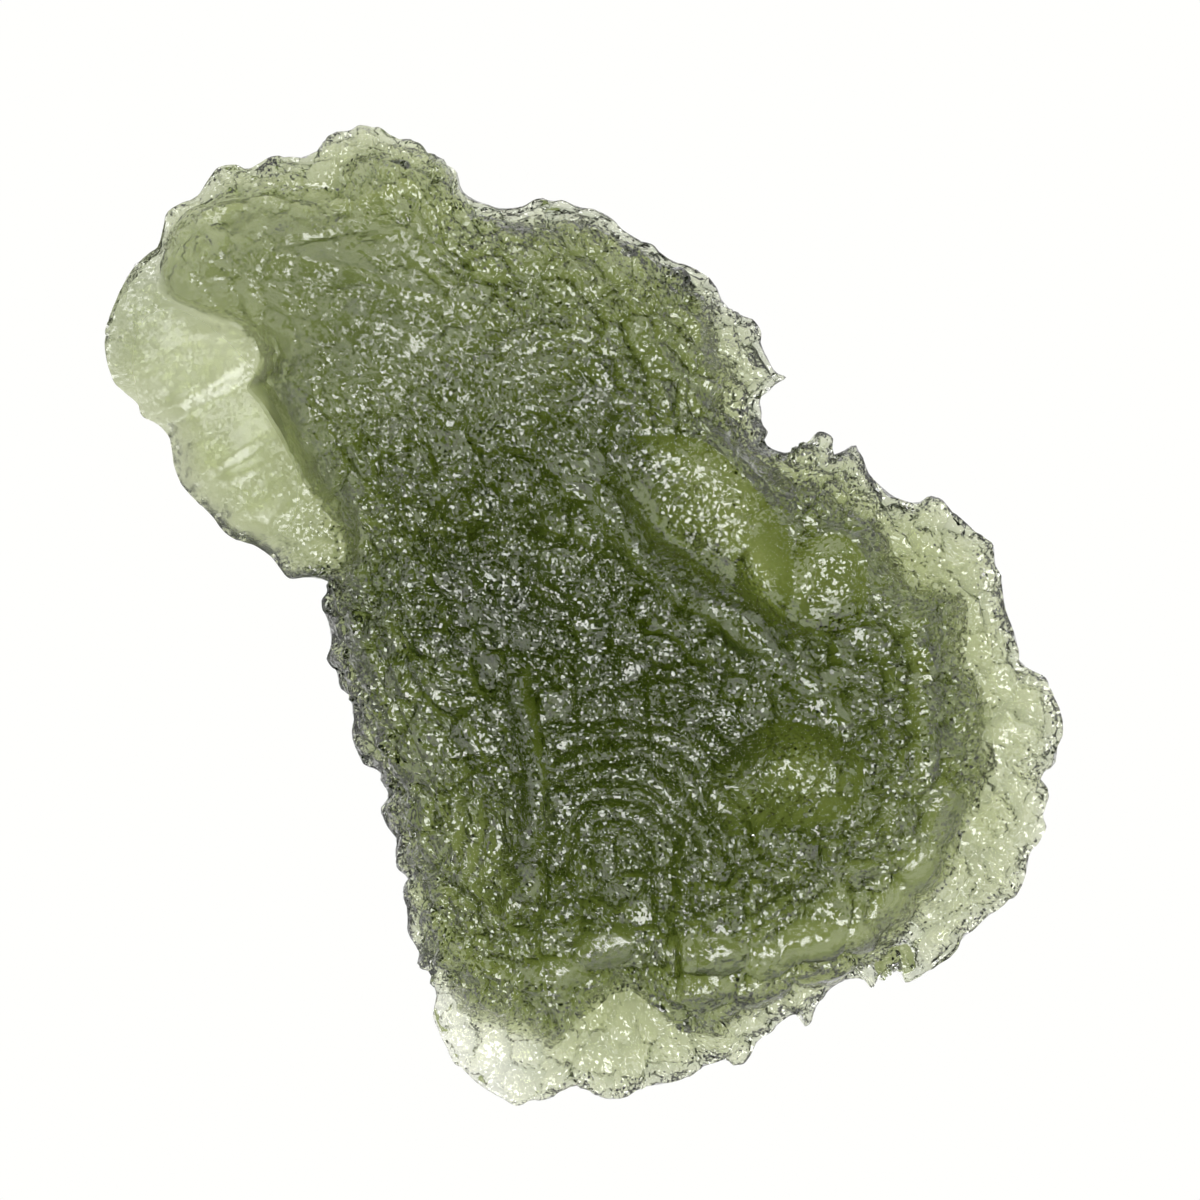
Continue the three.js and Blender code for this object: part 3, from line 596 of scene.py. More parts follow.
@dataclass(frozen=True)
class Spokes:
    """Straight lines in plan from the outline in to the shelf, clockwise, with their values."""

    outer: Array
    inner: Array
    rim: Array
    foot: Array
    edge: Array
    bulge: Array
    across: int
    along: int

    @classmethod
    def draw(cls, across: int, along: int) -> "Spokes":
        """Spaces the spokes along the drawn edge.

        Args:
            across: Spokes on the north side, and on the south side.
            along: Spokes on the east side, and on the west side.

        Returns:
            The spokes, each side's shared among its stretches by their drawn points.
        """
        stretches = [stretch for side in SIDES for stretch in side]
        outline = ClosedCurve(np.array([point for s in stretches for point in s.outline]))
        shelf = ClosedCurve(np.array([point for s in stretches for point in s.shelf]))
        outer, inner, values = [], [], []
        outline_at = shelf_at = 0
        for side, spokes in zip(SIDES, (across, along, across, along)):
            drawn = sum(len(stretch.outline) for stretch in side)
            left = spokes
            for stretch in side:
                fair = round(spokes * len(stretch.outline) / drawn)
                count = left if stretch is side[-1] else fair
                left -= count
                outline_end = outline_at + len(stretch.outline)
                shelf_end = shelf_at + len(stretch.shelf)
                outer.append(outline.evenly(outline_at, outline_end, count))
                inner.append(shelf.evenly(shelf_at, shelf_end, count))
                row = (stretch.rim, stretch.foot, stretch.edge, stretch.bulge)
                values.append(np.tile(row, (count, 1)))
                outline_at, shelf_at = outline_end, shelf_end
        blended = cls.blend(np.concatenate(values), BLEND_REACH)
        return cls(np.concatenate(outer), np.concatenate(inner), *blended.T, across, along)

    @staticmethod
    def blend(values: Array, reach: int) -> Array:
        """Returns the mean of each spoke's values and those of the spokes within reach."""
        shifted = [np.roll(values, step, axis=0) for step in range(-reach, reach + 1)]
        return np.mean(shifted, axis=0)

    def halved(self) -> "Spokes":
        """Returns every second spoke."""
        values = (self.outer, self.inner, self.rim, self.foot, self.edge, self.bulge)
        return Spokes(*(value[::2] for value in values), self.across // 2, self.along // 2)


def even_net(net: Array, sweeps: int) -> Array:
    """Slides a net's inner points until its cells are even and none folds over.

    Each point goes to the place among its eight neighbours where the map from the stone's
    plan back to the net's rows and columns is as smooth as a stretched film.

    Args:
        net: Plan places, rows by columns by x and y, with the edge already in place.
        sweeps: How often to repeat.

    Returns:
        The evened net.
    """
    net = net.copy()
    for _ in range(sweeps):
        east, west = net[1:-1, 2:], net[1:-1, :-2]
        north, south = net[:-2, 1:-1], net[2:, 1:-1]
        across, along = east - west, south - north
        across_weight = (along ** 2).sum(axis=2, keepdims=True)
        along_weight = (across ** 2).sum(axis=2, keepdims=True)
        skew = (across * along).sum(axis=2, keepdims=True)
        twist = net[2:, 2:] - net[2:, :-2] - net[:-2, 2:] + net[:-2, :-2]
        pull = across_weight * (east + west) + along_weight * (north + south)
        goal = (pull - skew * twist / 2) / (2 * (across_weight + along_weight))
        net[1:-1, 1:-1] = mix(net[1:-1, 1:-1], goal, SWEEP_STEP)
    return net


def finer_net(coarse: Array, rows: int, columns: int) -> Array:
    """Reads a finer net between the points of a coarser one, along the rows and then across.

    Args:
        coarse: Plan places, rows by columns by x and y.
        rows, columns: How many of each the finer net has.

    Returns:
        The finer net.
    """
    down = np.linspace(0, len(coarse) - 1, rows)
    right = np.linspace(0, coarse.shape[1] - 1, columns)
    i = np.minimum(down.astype(int), len(coarse) - 2)
    j = np.minimum(right.astype(int), coarse.shape[1] - 2)
    u, v = (down - i)[:, None, None], (right - j)[None, :, None]
    top = mix(coarse[i][:, j], coarse[i][:, j + 1], v)
    bottom = mix(coarse[i + 1][:, j], coarse[i + 1][:, j + 1], v)
    return mix(top, bottom, u)


def ring_to_net(ring: Array, across: int, along: int) -> Array:
    """Lays a clockwise ring along the edge of a net, from its first corner on.

    Args:
        ring: One row of values for each point of the ring.
        across, along: Steps along the net's short and long sides.

    Returns:
        The net, with zeros inside.
    """
    net = np.zeros((along + 1, across + 1, ring.shape[1]), dtype=ring.dtype)
    net[0, :-1] = ring[:across]
    net[:-1, -1] = ring[across:across + along]
    net[-1, :0:-1] = ring[across + along:2 * across + along]
    net[:0:-1, 0] = ring[2 * across + along:]
    return net


def fill_plan(ring: Array, across: int, along: int) -> Array:
    """Fills a ring with an evened net, coarse at first and then finer.

    Args:
        ring: Plan places, clockwise from the net's first corner.
        across, along: Steps along the net's short and long sides.

    Returns:
        Plan places, rows by columns by x and y.
    """
    net: Array | None = None
    for thinning, sweeps in NET_STAGES:
        if across % thinning or along % thinning:
            continue
        edge = ring_to_net(ring[::thinning], across // thinning, along // thinning)
        if net is None:
            part = np.linspace(0, 1, edge.shape[1])[None, :, None]
            inside = mix(edge[:, :1], edge[:, -1:], part)
        else:
            inside = finer_net(net, *edge.shape[:2])
        inside[0], inside[-1] = edge[0], edge[-1]
        inside[:, 0], inside[:, -1] = edge[:, 0], edge[:, -1]
        net = even_net(inside, sweeps)
    return net


@dataclass(frozen=True)
class Relief:
    """The heights of the upper side and of the underside, in millimetres."""

    body_height: float = 5.9
    dome_fall: float = 0.011  # per square millimetre away from the middle
    belly_rise: float = 0.0085  # the same for the underside
    belly_dip: float = 0.06  # how far the belly would reach below the floor
    roll_reach: float = 4.8  # width of the band in which the underside turns up to the rim
    roll_power: float = 1.5
    rest_point: Point = (15.0, 14.2)  # middle of the flat spot
    shoulder_drop: float = 0.8
    shoulder_reach: float = 0.7
    scoop_radius: float = 2.2
    scoop_wander: float = 0.7  # how far a scoop's border strays
    wander_size: float = 1.5
    lumps: tuple[Point, ...] = ((2.3, 0.22), (0.95, 0.2))  # size and height
    belly_shift: float = 40.0  # gives the underside lumps of its own
    belly_calm: float = 20.0  # square millimetres about the flat spot in which they fade
    bevel_width: float = 0.25
    bevel_widening: float = 0.4  # per millimetre of rim
    bevel_depth: float = 0.25  # per millimetre of rim
    bevel_power: float = 1.3

    def away(self, x: Array, y: Array) -> Array:
        """Returns the squared distance from the middle of the flat spot."""
        return (x - self.rest_point[0]) ** 2 + (y - self.rest_point[1]) ** 2

    def lumpy(self, x: Array, y: Array) -> Array:
        """Returns the sum of the lumps, each size times its height."""
        return sum(height * lump_height(x, y, size) for size, height in self.lumps)

    def dome(self, x: Array, y: Array) -> Array:
        """Returns a parabola, highest in the middle."""
        return self.body_height - self.dome_fall * self.away(x, y)

    def upper(self, x: Array, y: Array, to_shelf: Array) -> Array:
        """Height of the upper side: dome, lumps and swells, falling to its shoulder.

        Args:
            x, y: Plan places.
            to_shelf: Distance in from the shelf edge.

        Returns:
            Heights above the floor.
        """
        z = self.dome(x, y) + self.lumpy(x, y)
        z = z - self.shoulder_drop * np.exp(-to_shelf / self.shoulder_reach)
        for swell in SWELLS:
            z = z + swell.bell(x, y)
        return z

    def scoop_part(self, x: Array, y: Array, scoop: Scoop) -> Array:
        """How far out in a scoop a place lies, once lumps have pushed the place about.

        Args:
            x, y: Places on the sheet.
            scoop: The scoop.

        Returns:
            The squared distance from its middle, 1 at the border of its opening.
        """
        x_push = self.scoop_wander * lump_height(x, y, self.wander_size)
        y_push = self.scoop_wander * lump_height(y, x, self.wander_size)
        u, v = ellipse_axes(x - x_push, y - y_push, scoop.at, scoop.turn)
        return (u / scoop.radii[0]) ** 2 + (v / scoop.radii[1]) ** 2

    def scooped(self, x: Array, y: Array, z: Array) -> Array:
        """Lowers heights to the lower half of each scoop's ellipsoid where that lies deeper.

        Args:
            x, y: Plan places.
            z: Heights of the upper side.

        Returns:
            The lowered heights.
        """
        for scoop in SCOOPS:
            opening = 1 - (1 - scoop.depth / self.scoop_radius) ** 2
            inside = 1 - self.scoop_part(x, y, scoop) * opening
            middle = self.dome(*map(np.array, scoop.at)) - scoop.depth + self.scoop_radius
            bowl = middle - self.scoop_radius * np.sqrt(np.clip(inside, 0, None))
            z = np.where(inside > 0, np.minimum(z, bowl), z)
        return z

    def lower(self, x: Array, y: Array, to_rim: Array, rim: Array) -> Array:
        """Height of the underside: a bowl, cut flat at the floor and turned up to the rim.

        Args:
            x, y: Plan places.
            to_rim: Distance in from the outline.
            rim: Height of the rim's lower edge there.

        Returns:
            Heights above the floor.
        """
        away = self.away(x, y)
        bowl = self.belly_rise * away - self.belly_dip
        steady = np.minimum(1, away / self.belly_calm)
        bowl = bowl + steady * self.lumpy(y + self.belly_shift, x)
        roll = (1 - np.minimum(1, to_rim / self.roll_reach)) ** self.roll_power
        return np.maximum(mix(bowl, rim, roll), 0.0)

    def bevel(self, inward: Array, edge: Array) -> Array:
        """How far a worn rim falls back: a power of the way out over its last stretch.

        Args:
            inward: Distance in from the outline.
            edge: Thickness of the rim there.

        Returns:
            Falls in millimetres, most at the outline and none further in.
        """
        outward = 1 - np.clip(inward / (self.bevel_width + self.bevel_widening * edge), 0, 1)
        return self.bevel_depth * edge * outward ** self.bevel_power


@dataclass(frozen=True)
class Flow:
    """Flow ridges: the level lines of a slanted, lumpy slope, in patches."""

    height: float = 0.07
    spacing: float = 0.5
    slant: Point = (0.65, 0.75)
    broad_lumps: Point = (5.5, 5.0)  # size and height
    small_lumps: Point = (1.7, 1.2)
    patch_size: float = 2.4
    patch_shift: float = 9.0
    patch_mean: float = 0.7
    patch_contrast: float = 2.2

    def ridges(self, x: Array, y: Array) -> Array:
        """One ridge each time the slope rises by the spacing, times the patches' strength.

        Args:
            x, y: Places on the sheet.

        Returns:
            Offsets in millimetres.
        """
        slope = self.slant[1] * y + self.slant[0] * x
        slope = slope + self.broad_lumps[1] * lump_height(x, y, self.broad_lumps[0])
        slope = slope + self.small_lumps[1] * lump_height(y, x, self.small_lumps[0])
        ridge = 1 - np.abs(np.sin(math.pi * slope / self.spacing))
        lumps = lump_height(x + self.patch_shift, y, self.patch_size)
        return self.height * ridge * smooth(self.patch_mean + self.patch_contrast * lumps)


@dataclass(frozen=True)
class Streaks:
    """The streaks across the west lip: lumps drawn out along them, a coarse and a fine set."""

    middle: Point = (5.4, 19.4)
    turn: float = 36.0
    height: float = 0.05
    waver: float = 0.5
    waver_size: float = 1.9
    sets: tuple[tuple[float, float, float], ...] = ((0.34, 7.0, 1.0), (0.17, 5.0, 0.6))
    patch_size: float = 0.8
    patch_weight: float = 0.8

    def offsets(self, x: Array, y: Array) -> Array:
        """Each set's lumps, by their width, stretch and weight, and round lumps over them.

        Args:
            x, y: Places on the sheet.

        Returns:
            Offsets in millimetres, also away from the lip.
        """
        u, v = ellipse_axes(x, y, self.middle, self.turn)
        v = v + self.waver * lump_height(x, y, self.waver_size)
        lumps = self.patch_weight * lump_height(x, y, self.patch_size)
        for width, stretch, weight in self.sets:
            lumps = lumps + weight * lump_height(u / stretch, v, width)
        return self.height * lumps


@dataclass(frozen=True)
class Etching:
    """The fine relief that the soil has etched, as offsets along the surface's normal.

    Sizes, heights and depths are in millimetres, and the other values are parts.
    """

    warp: float = 0.35  # how far the pattern of plates and chips is pushed about
    warp_size: float = 0.8
    warp_seeds: tuple[float, float, float] = (3.1, 7.7, 5.3)
    plate_size: float = 0.85
    plate_slant: float = 0.7
    groove_depth: float = 0.12
    groove_width: float = 0.3
    lively_mean: float = 0.5
    lively_contrast: float = 1.5
    chip_size: float = 0.3
    chip_slant: float = 0.5
    chip_seed: float = 11.3
    chips_least: float = 0.4  # on a dull plate
    chips_gain: float = 0.8  # on a lively plate, above that
    grain_size: float = 0.17
    grain_height: float = 0.035
    finer_grain: float = 0.5
    flow: Flow = field(default_factory=Flow)
    streaks: Streaks = field(default_factory=Streaks)
    wobble: float = 0.25  # how far the drawn lines stray
    wobble_size: float = 0.7
    sink: float = 0.06
    smoothed: float = 0.95  # how much of the etching a calm place lacks
    combing: float = 0.6  # how much of it a fan takes away
    window_border: float = 1.1
    window_fade: float = 0.4
    satin_border: float = 1.6
    shell_border: float = 0.06
    shell_calm: float = 0.9
    shell_satin: float = 0.45
    # Painted shade and painted light in the base colour: a base level, painted darker in pits and
    # grooves.
    base_painted_shade: float = 0.3
    painted_shade_depth: float = 0.4  # painted shade: a pit as deep as this is painted fully dark
    least_glint: float = 0.35
    calm_dulling: float = 0.6
    satin_dulling: float = 0.4

    def calm(self, x: Array, y: Array, relief: Relief) -> Array:
        """How smooth a place is: the most that a window, satin skin, fold or shell makes it.

        Args:
            x, y: Places on the sheet.
            relief: Where the scoops lie.

        Returns:
            Parts from 0, on the rough body, to 1.
        """
        parts = [self.satin(x, y), self.shell_calm * self.shell_part(x, y)]
        for scoop in SCOOPS:
            inward = self.window_border - relief.scoop_part(x, y, scoop)
            parts.append(scoop.calm * smooth(inward / self.window_fade))
        parts += [fold.calm * fold.bell(x, y) for fold in FOLDS]
        return np.maximum.reduce(parts)

    def satin(self, x: Array, y: Array) -> Array:
        """How dull and smooth a place is: most on the smooth patches, less on the shells.

        Args:
            x, y: Places on the sheet.

        Returns:
            Parts from 0 to 1.
        """
        parts = [self.shell_satin * self.shell_part(x, y)]
        for patch in SMOOTH_PATCHES:
            parts.append(patch.rise * smooth(self.satin_border - np.sqrt(patch.reach(x, y))))
        return np.maximum.reduce(parts)

    def shells(self, x: Array, y: Array) -> Array:
        """Returns the height of the highest shell, 0 beside them."""
        return np.maximum.reduce([np.zeros(x.shape), *(shell.dome(x, y) for shell in SHELLS)])

    def shell_part(self, x: Array, y: Array) -> Array:
        """Returns 1 on the shells, falling to 0 at their borders."""
        return smooth(self.shells(x, y) / self.shell_border)

    def shade(self, x: Array, y: Array, offset: Array) -> Array:
        """How much shade is painted on a place: broad painted shade and painted light, and painted
        shade in the bottoms of grooves and pits.

        Args:
            x, y: Places on the sheet.
            offset: The etching there, in millimetres.

        Returns:
            Parts from 0 to 1.
        """
        shade = self.base_painted_shade - offset / self.painted_shade_depth
        for patch in PAINTED_SHADES:
            shade = shade + patch.bell(x, y)
        return np.clip(shade, 0.0, 1.0)

    def glint(self, lively: Array, calm: Array, satin: Array) -> Array:
        """Returns how much a place glints: most on a lively plate, less if calm or satin."""
        glint = mix(self.least_glint, 1.0, lively)
        return glint * (1 - self.calm_dulling * calm) * (1 - self.satin_dulling * satin)

    def drawn(self, x: Array, y: Array) -> Array:
        """The sum of the drawn folds, each fading out to its sides, and of the fans.

        Args:
            x, y: Places on the sheet.

        Returns:
            Offsets in millimetres.
        """
        x_push = self.wobble * lump_height(x, y, self.wobble_size)
        y_push = self.wobble * lump_height(y, x, self.wobble_size)
        x, y = x + x_push, y + y_push
        offset = np.zeros(x.shape)
        for fold in FOLDS:
            offset += fold.height * fold.bell(x, y)
        for fan in FANS:
            offset += fan.ridges(x, y)
        return offset

    def combed(self, x: Array, y: Array) -> Array:
        """Returns 1 where a fan lies, where the rest of the etching is weaker."""
        return np.maximum.reduce([fan.inside(x, y) for fan in FANS])

    def offsets(self, place: Array, calm: Array) -> tuple[Array, Array]:
        """Slanted plates between grooves, small chips, flow ridges and grain, weaker where the
        stone is calm or combed, and then the drawn lines, the streaks and the shells.

        Args:
            place: Places on the sheet, one row of x, y and z each.
            calm: Parts from 0 to 1.

        Returns:
            Offsets along the normal, in millimetres, and how lively each plate is.
        """
        x, y = place[:, 0], place[:, 1]
        pushes = [grain(place, self.warp_size, seed) for seed in self.warp_seeds]
        warped = place + self.warp * np.stack(pushes, axis=1)
        near, beyond, plane, tone = cells(warped, self.plate_size)
        lively = smooth(self.lively_mean + self.lively_contrast * tone)
        plates = self.plate_slant * self.plate_size * plane
        plates = plates - self.groove_depth * (1 - smooth((beyond - near) / self.groove_width))
        plates = plates * (1 - QUIET.bell(x, y))
        chips = self.chip_slant * self.chip_size * cells(warped, self.chip_size, self.chip_seed)[2]
        fine = grain(warped, self.grain_size) + self.finer_grain * grain(place, self.grain_size / 2)
        small = (chips + self.grain_height * fine) * (self.chips_least + self.chips_gain * lively)
        etched = plates + small + self.flow.ridges(x, y) - self.sink
        etched = etched * (1 - self.smoothed * calm) * (1 - self.combing * self.combed(x, y))
        streaks = self.streaks.offsets(x, y) * self.satin(x, y)
        return etched + self.drawn(x, y) + streaks + self.shells(x, y), lively


@dataclass
class Skin:
    """Points and faces of one closed surface, gathered piece by piece."""

    points: list[Array] = field(default_factory=list)
    faces: list[Numbers] = field(default_factory=list)
    count: int = 0

    def add_points(self, points: Array) -> Numbers:
        """Adds points.

        Args:
            points: Places in a grid of any shape, x, y and z last.

        Returns:
            The points' numbers, in the same grid.
        """
        flat = points.reshape(-1, 3)
        numbers = np.arange(self.count, self.count + len(flat)).reshape(points.shape[:-1])
        self.points.append(flat)
        self.count += len(flat)
        return numbers

    def add_bands(self, rings: Numbers) -> None:
        """Adds four-sided faces between each ring and the next one inwards.

        Args:
            rings: The rings' point numbers, one ring to a row.
        """
        after = np.roll(rings, -1, axis=1)
        quads = np.stack([rings[:-1], rings[1:], after[1:], after[:-1]], axis=-1)
        self.faces.append(quads.reshape(-1, 4))

    def add_net(self, net: Numbers) -> None:
        """Adds four-sided faces between the points of a net, facing up."""
        quads = np.stack([net[:-1, :-1], net[1:, :-1], net[1:, 1:], net[:-1, 1:]], axis=-1)
        self.faces.append(quads.reshape(-1, 4))

    def add_halving_band(self, fine: Numbers, coarse: Numbers) -> None:
        """Adds five-sided faces from each coarse edge to the two fine edges beside it."""
        middle, last = fine[1::2], np.roll(fine, -2)[::2]
        self.faces.append(np.stack([coarse, fine[::2], middle, last, np.roll(coarse, -1)], axis=-1))

    def turn_over(self, since: int) -> None:
        """Turns the faces added since then to face the other way."""
        self.faces[since:] = [faces[:, ::-1] for faces in self.faces[since:]]


@dataclass
class Moldavite:
    """The stone: thick body, ledges, thin lips, scoops, etched skin and flat spot."""

    across: int = 184
    along: int = 296
    lip_rings: int = 18
    ledge_rings: int = 7
    underside_rings: int = 8
    ledge_run: float = 0.6  # how far the ledge leans out, seen from above
    ledge_share: float = 0.4  # the most of a spoke's length that the ledge may take
    foot_lumps: float = 0.6
    belly_clear: float = 0.5  # height from which the underside grows smooth
    belly_fade: float = 0.5
    belly_calm: float = 0.9
    belly_etching: float = 0.8  # how much of the etching the underside bears
    rim_etching: float = 0.3  # and how much of it the outline
    painted_lip_light: float = 0.22  # painted light: how much paler a lip with a thick rim is painted
    thin_edge: float = 0.4  # a rim twice as thick as this counts as thick
    crease_angle: float = 16.0
    long_axis_turn: float = 51.0
    relief: Relief = field(default_factory=Relief)
    etching: Etching = field(default_factory=Etching)
    scale: float = 1.0
    shift: Array = field(default_factory=lambda: np.zeros(2))

    def upper_rings(self, spokes: Spokes) -> Array:
        """Rings of the lips and ledges, from the outline in to the top of the ledge.

        Args:
            spokes: The fine spokes.

        Returns:
            Places on the sheet, rings by spokes by x, y and z.
        """
        relief = self.relief
        run = np.concatenate([np.linspace(0, 1, self.lip_rings + 1), np.ones(self.ledge_rings)])
        climb = np.concatenate([np.zeros(self.lip_rings + 1),
                                np.linspace(0, 1, self.ledge_rings + 1)[1:]])
        run, climb = run[:, None], climb[:, None]
        width = np.linalg.norm(spokes.outer - spokes.inner, axis=1)
        ledge = np.minimum(self.ledge_run / width, self.ledge_share)
        part = run * (1 - ledge) + climb * ledge
        x, y = np.moveaxis(mix(spokes.outer[None], spokes.inner[None], part[..., None]), -1, 0)
        rim_top = spokes.rim * relief.body_height + spokes.edge / 2
        top = relief.upper(*spokes.inner.T, np.zeros(len(width)))
        foot = spokes.foot * top + self.foot_lumps * relief.lumpy(x, y)
        rise = (1 - (1 - run) ** spokes.bulge) ** (1 / spokes.bulge)
        ledge_top = relief.upper(x, y, np.zeros_like(x))
        z = mix(mix(rim_top, foot, rise), ledge_top, smooth(climb))
        z = z - relief.bevel(part * width, spokes.edge)
        return np.stack([x, y, relief.scooped(x, y, z)], axis=-1)

    def upper_body(self, spokes: Spokes) -> Array:
        """Fills the shelf with a net and gives it the heights of the upper side.

        Args:
            spokes: The fine spokes.

        Returns:
            Places on the sheet, rows by columns by x, y and z.
        """
        plan = fill_plan(spokes.inner, spokes.across, spokes.along)
        x, y = np.moveaxis(plan, -1, 0)
        to_shelf, _ = nearest(plan.reshape(-1, 2), spokes.inner)
        z = self.relief.upper(x, y, to_shelf.reshape(x.shape))
        return np.stack([x, y, self.relief.scooped(x, y, z)], axis=-1)

    def underside(self, spokes: Spokes, plan: Array) -> Array:
        """Gives plan places the heights of the underside.

        Args:
            spokes: The coarse spokes.
            plan: Plan places, in a grid with x and y last.

        Returns:
            The same grid with x, y and z.
        """
        to_rim, number = nearest(plan.reshape(-1, 2), spokes.outer)
        rim = (spokes.rim * self.relief.body_height - spokes.edge / 2)[number]
        x, y = plan.reshape(-1, 2).T
        z = self.relief.lower(x, y, to_rim, rim)
        z = z + self.relief.bevel(to_rim, spokes.edge[number])
        return np.stack([x, y, z], axis=-1).reshape(*plan.shape[:-1], 3)

    def gather(self) -> tuple[Skin, int, Array]:
        """Joins the parts into one closed skin.

        Returns:
            The skin in sheet places, how many of its points belong to the upper side, and
            how much painted light each point of the lips gets, 1 where the rim is thick.
        """
        skin, fine = Skin(), Spokes.draw(self.across, self.along)
        rings = skin.add_points(self.upper_rings(fine))
        skin.add_bands(rings)
        body = self.upper_body(fine)
        net = ring_to_net(rings[-1][:, None], fine.across, fine.along)[..., 0]
        net[1:-1, 1:-1] = skin.add_points(body[1:-1, 1:-1])
        skin.add_net(net)
        upper_count, upper_faces = skin.count, len(skin.faces)
        coarse = fine.halved()
        parts = np.linspace(0, 1, self.underside_rings + 1)[:, None, None]
        plan = mix(coarse.outer[None], coarse.inner[None], parts)
        below = skin.add_points(self.underside(coarse, plan))
        skin.add_bands(below)
        floor_plan = fill_plan(coarse.inner, coarse.across, coarse.along)
        net = ring_to_net(below[-1][:, None], coarse.across, coarse.along)[..., 0]
        net[1:-1, 1:-1] = skin.add_points(self.underside(coarse, floor_plan)[1:-1, 1:-1])
        skin.add_net(net)
        skin.turn_over(upper_faces)
        skin.add_halving_band(rings[0], below[0])
        # Painted light: lips with thick rims are painted paler.
        pale = np.tile(np.clip(fine.edge / self.thin_edge - 1, 0, 1), self.lip_rings + 1)
        return skin, upper_count, pale

    def to_frame(self, sheet: Array) -> Array:
        """Turns sheet places so that the long axis lies along X, fits them to the node's
        box and puts the flat spot on the floor.

        Args:
            sheet: Places in millimetres on the sheet.

        Returns:
            Places in metres in the frame.
        """
        low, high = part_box(NODE)
        turn = math.radians(self.long_axis_turn)
        c, s = math.cos(turn), math.sin(turn)
        x, y = sheet[:, 0] * c - sheet[:, 1] * s, sheet[:, 0] * s + sheet[:, 1] * c
        scale = (high.x - low.x) / np.ptp(x)
        self.scale = scale / MM
        middle = (high + low) / 2
        self.shift = np.array([middle.x - scale * (x.max() + x.min()) / 2,
                               middle.y - scale * (y.max() + y.min()) / 2])
        z = sheet[:, 2] * scale + low.z
        return np.stack([x * scale + self.shift[0], y * scale + self.shift[1], z], axis=1)

    def picture_middle(self) -> Array:
        """Returns the place of the sheet's middle in the frame, once the stone is built."""
        turn = math.radians(self.long_axis_turn)
        c, s = math.cos(turn), math.sin(turn)
        return SHEET_SIDE / 2 * self.scale * MM * np.array([c - s, s + c]) + self.shift

    def belly_smoothness(self, sheet: Array, upper_count: int) -> Array:
        """How smooth the underside is: an S-curve of its height above the floor.

        Args:
            sheet: Places on the sheet.
            upper_count: How many of them belong to the upper side.

        Returns:
            Parts from 0 to 1, all 0 on the upper side.
        """
        part = smooth((sheet[:, 2] - self.belly_clear) / self.belly_fade)
        part[:upper_count] = 0.0
        return self.belly_calm * part

    def etch(self, mesh: bpy.types.Mesh, offset: Array) -> None:
        """Moves the mesh's points along their normals, and none of them below the floor.

        Args:
            mesh: The smooth stone.
            offset: How far each point moves, in millimetres.
        """
        normals, places = np.empty((2, len(offset) * 3))
        mesh.vertex_normals.foreach_get("vector", normals)
        mesh.vertices.foreach_get("co", places)
        places = places.reshape(-1, 3) + normals.reshape(-1, 3) * (offset * MM)[:, None]
        places[:, 2] = np.maximum(places[:, 2], 0.0)
        mesh.vertices.foreach_set("co", places.ravel())

    def build(self) -> bpy.types.Object:
        """Makes the mesh, etches it and notes how each point glints and shines, and how much shade
        or light is painted on it.

        Returns:
            The stone.
        """
        skin, upper_count, pale = self.gather()
        sheet = np.concatenate(skin.points)
        x, y = sheet[:, 0], sheet[:, 1]
        faces = [face for block in skin.faces for face in block.tolist()]
        mesh = bpy.data.meshes.new("moldavite_stone")
        mesh.from_pydata(self.to_frame(sheet).tolist(), [], faces)
        etching = self.etching
        smooth_belly = self.belly_smoothness(sheet, upper_count)
        calm = np.maximum(etching.calm(x, y, self.relief), smooth_belly)
        offset, lively = etching.offsets(sheet, calm)
        offset[upper_count:] *= self.belly_etching
        offset[:2 * (self.along + self.across)] *= self.rim_etching
        self.etch(mesh, offset)
        satin = etching.satin(x, y)
        satin[upper_count:] = 0.0
        # Painted shade and painted light for the base colour, lessened on the lips.
        shade = etching.shade(x, y, offset)
        shade[:len(pale)] = np.maximum(shade[:len(pale)] - self.painted_lip_light * pale, 0.0)
        glint = etching.glint(lively, calm, satin)
        for name, values in (("glint", glint), ("satin", satin), ("shade", shade)):
            layer = mesh.attributes.new(name, "FLOAT", "POINT")
            layer.data.foreach_set("value", values)
        mesh.shade_smooth()
        mesh.set_sharp_from_angle(angle=math.radians(self.crease_angle))
        mesh.update()
        stone = bpy.data.objects.new("moldavite_stone", mesh)
        bpy.context.collection.objects.link(stone)
        return stone


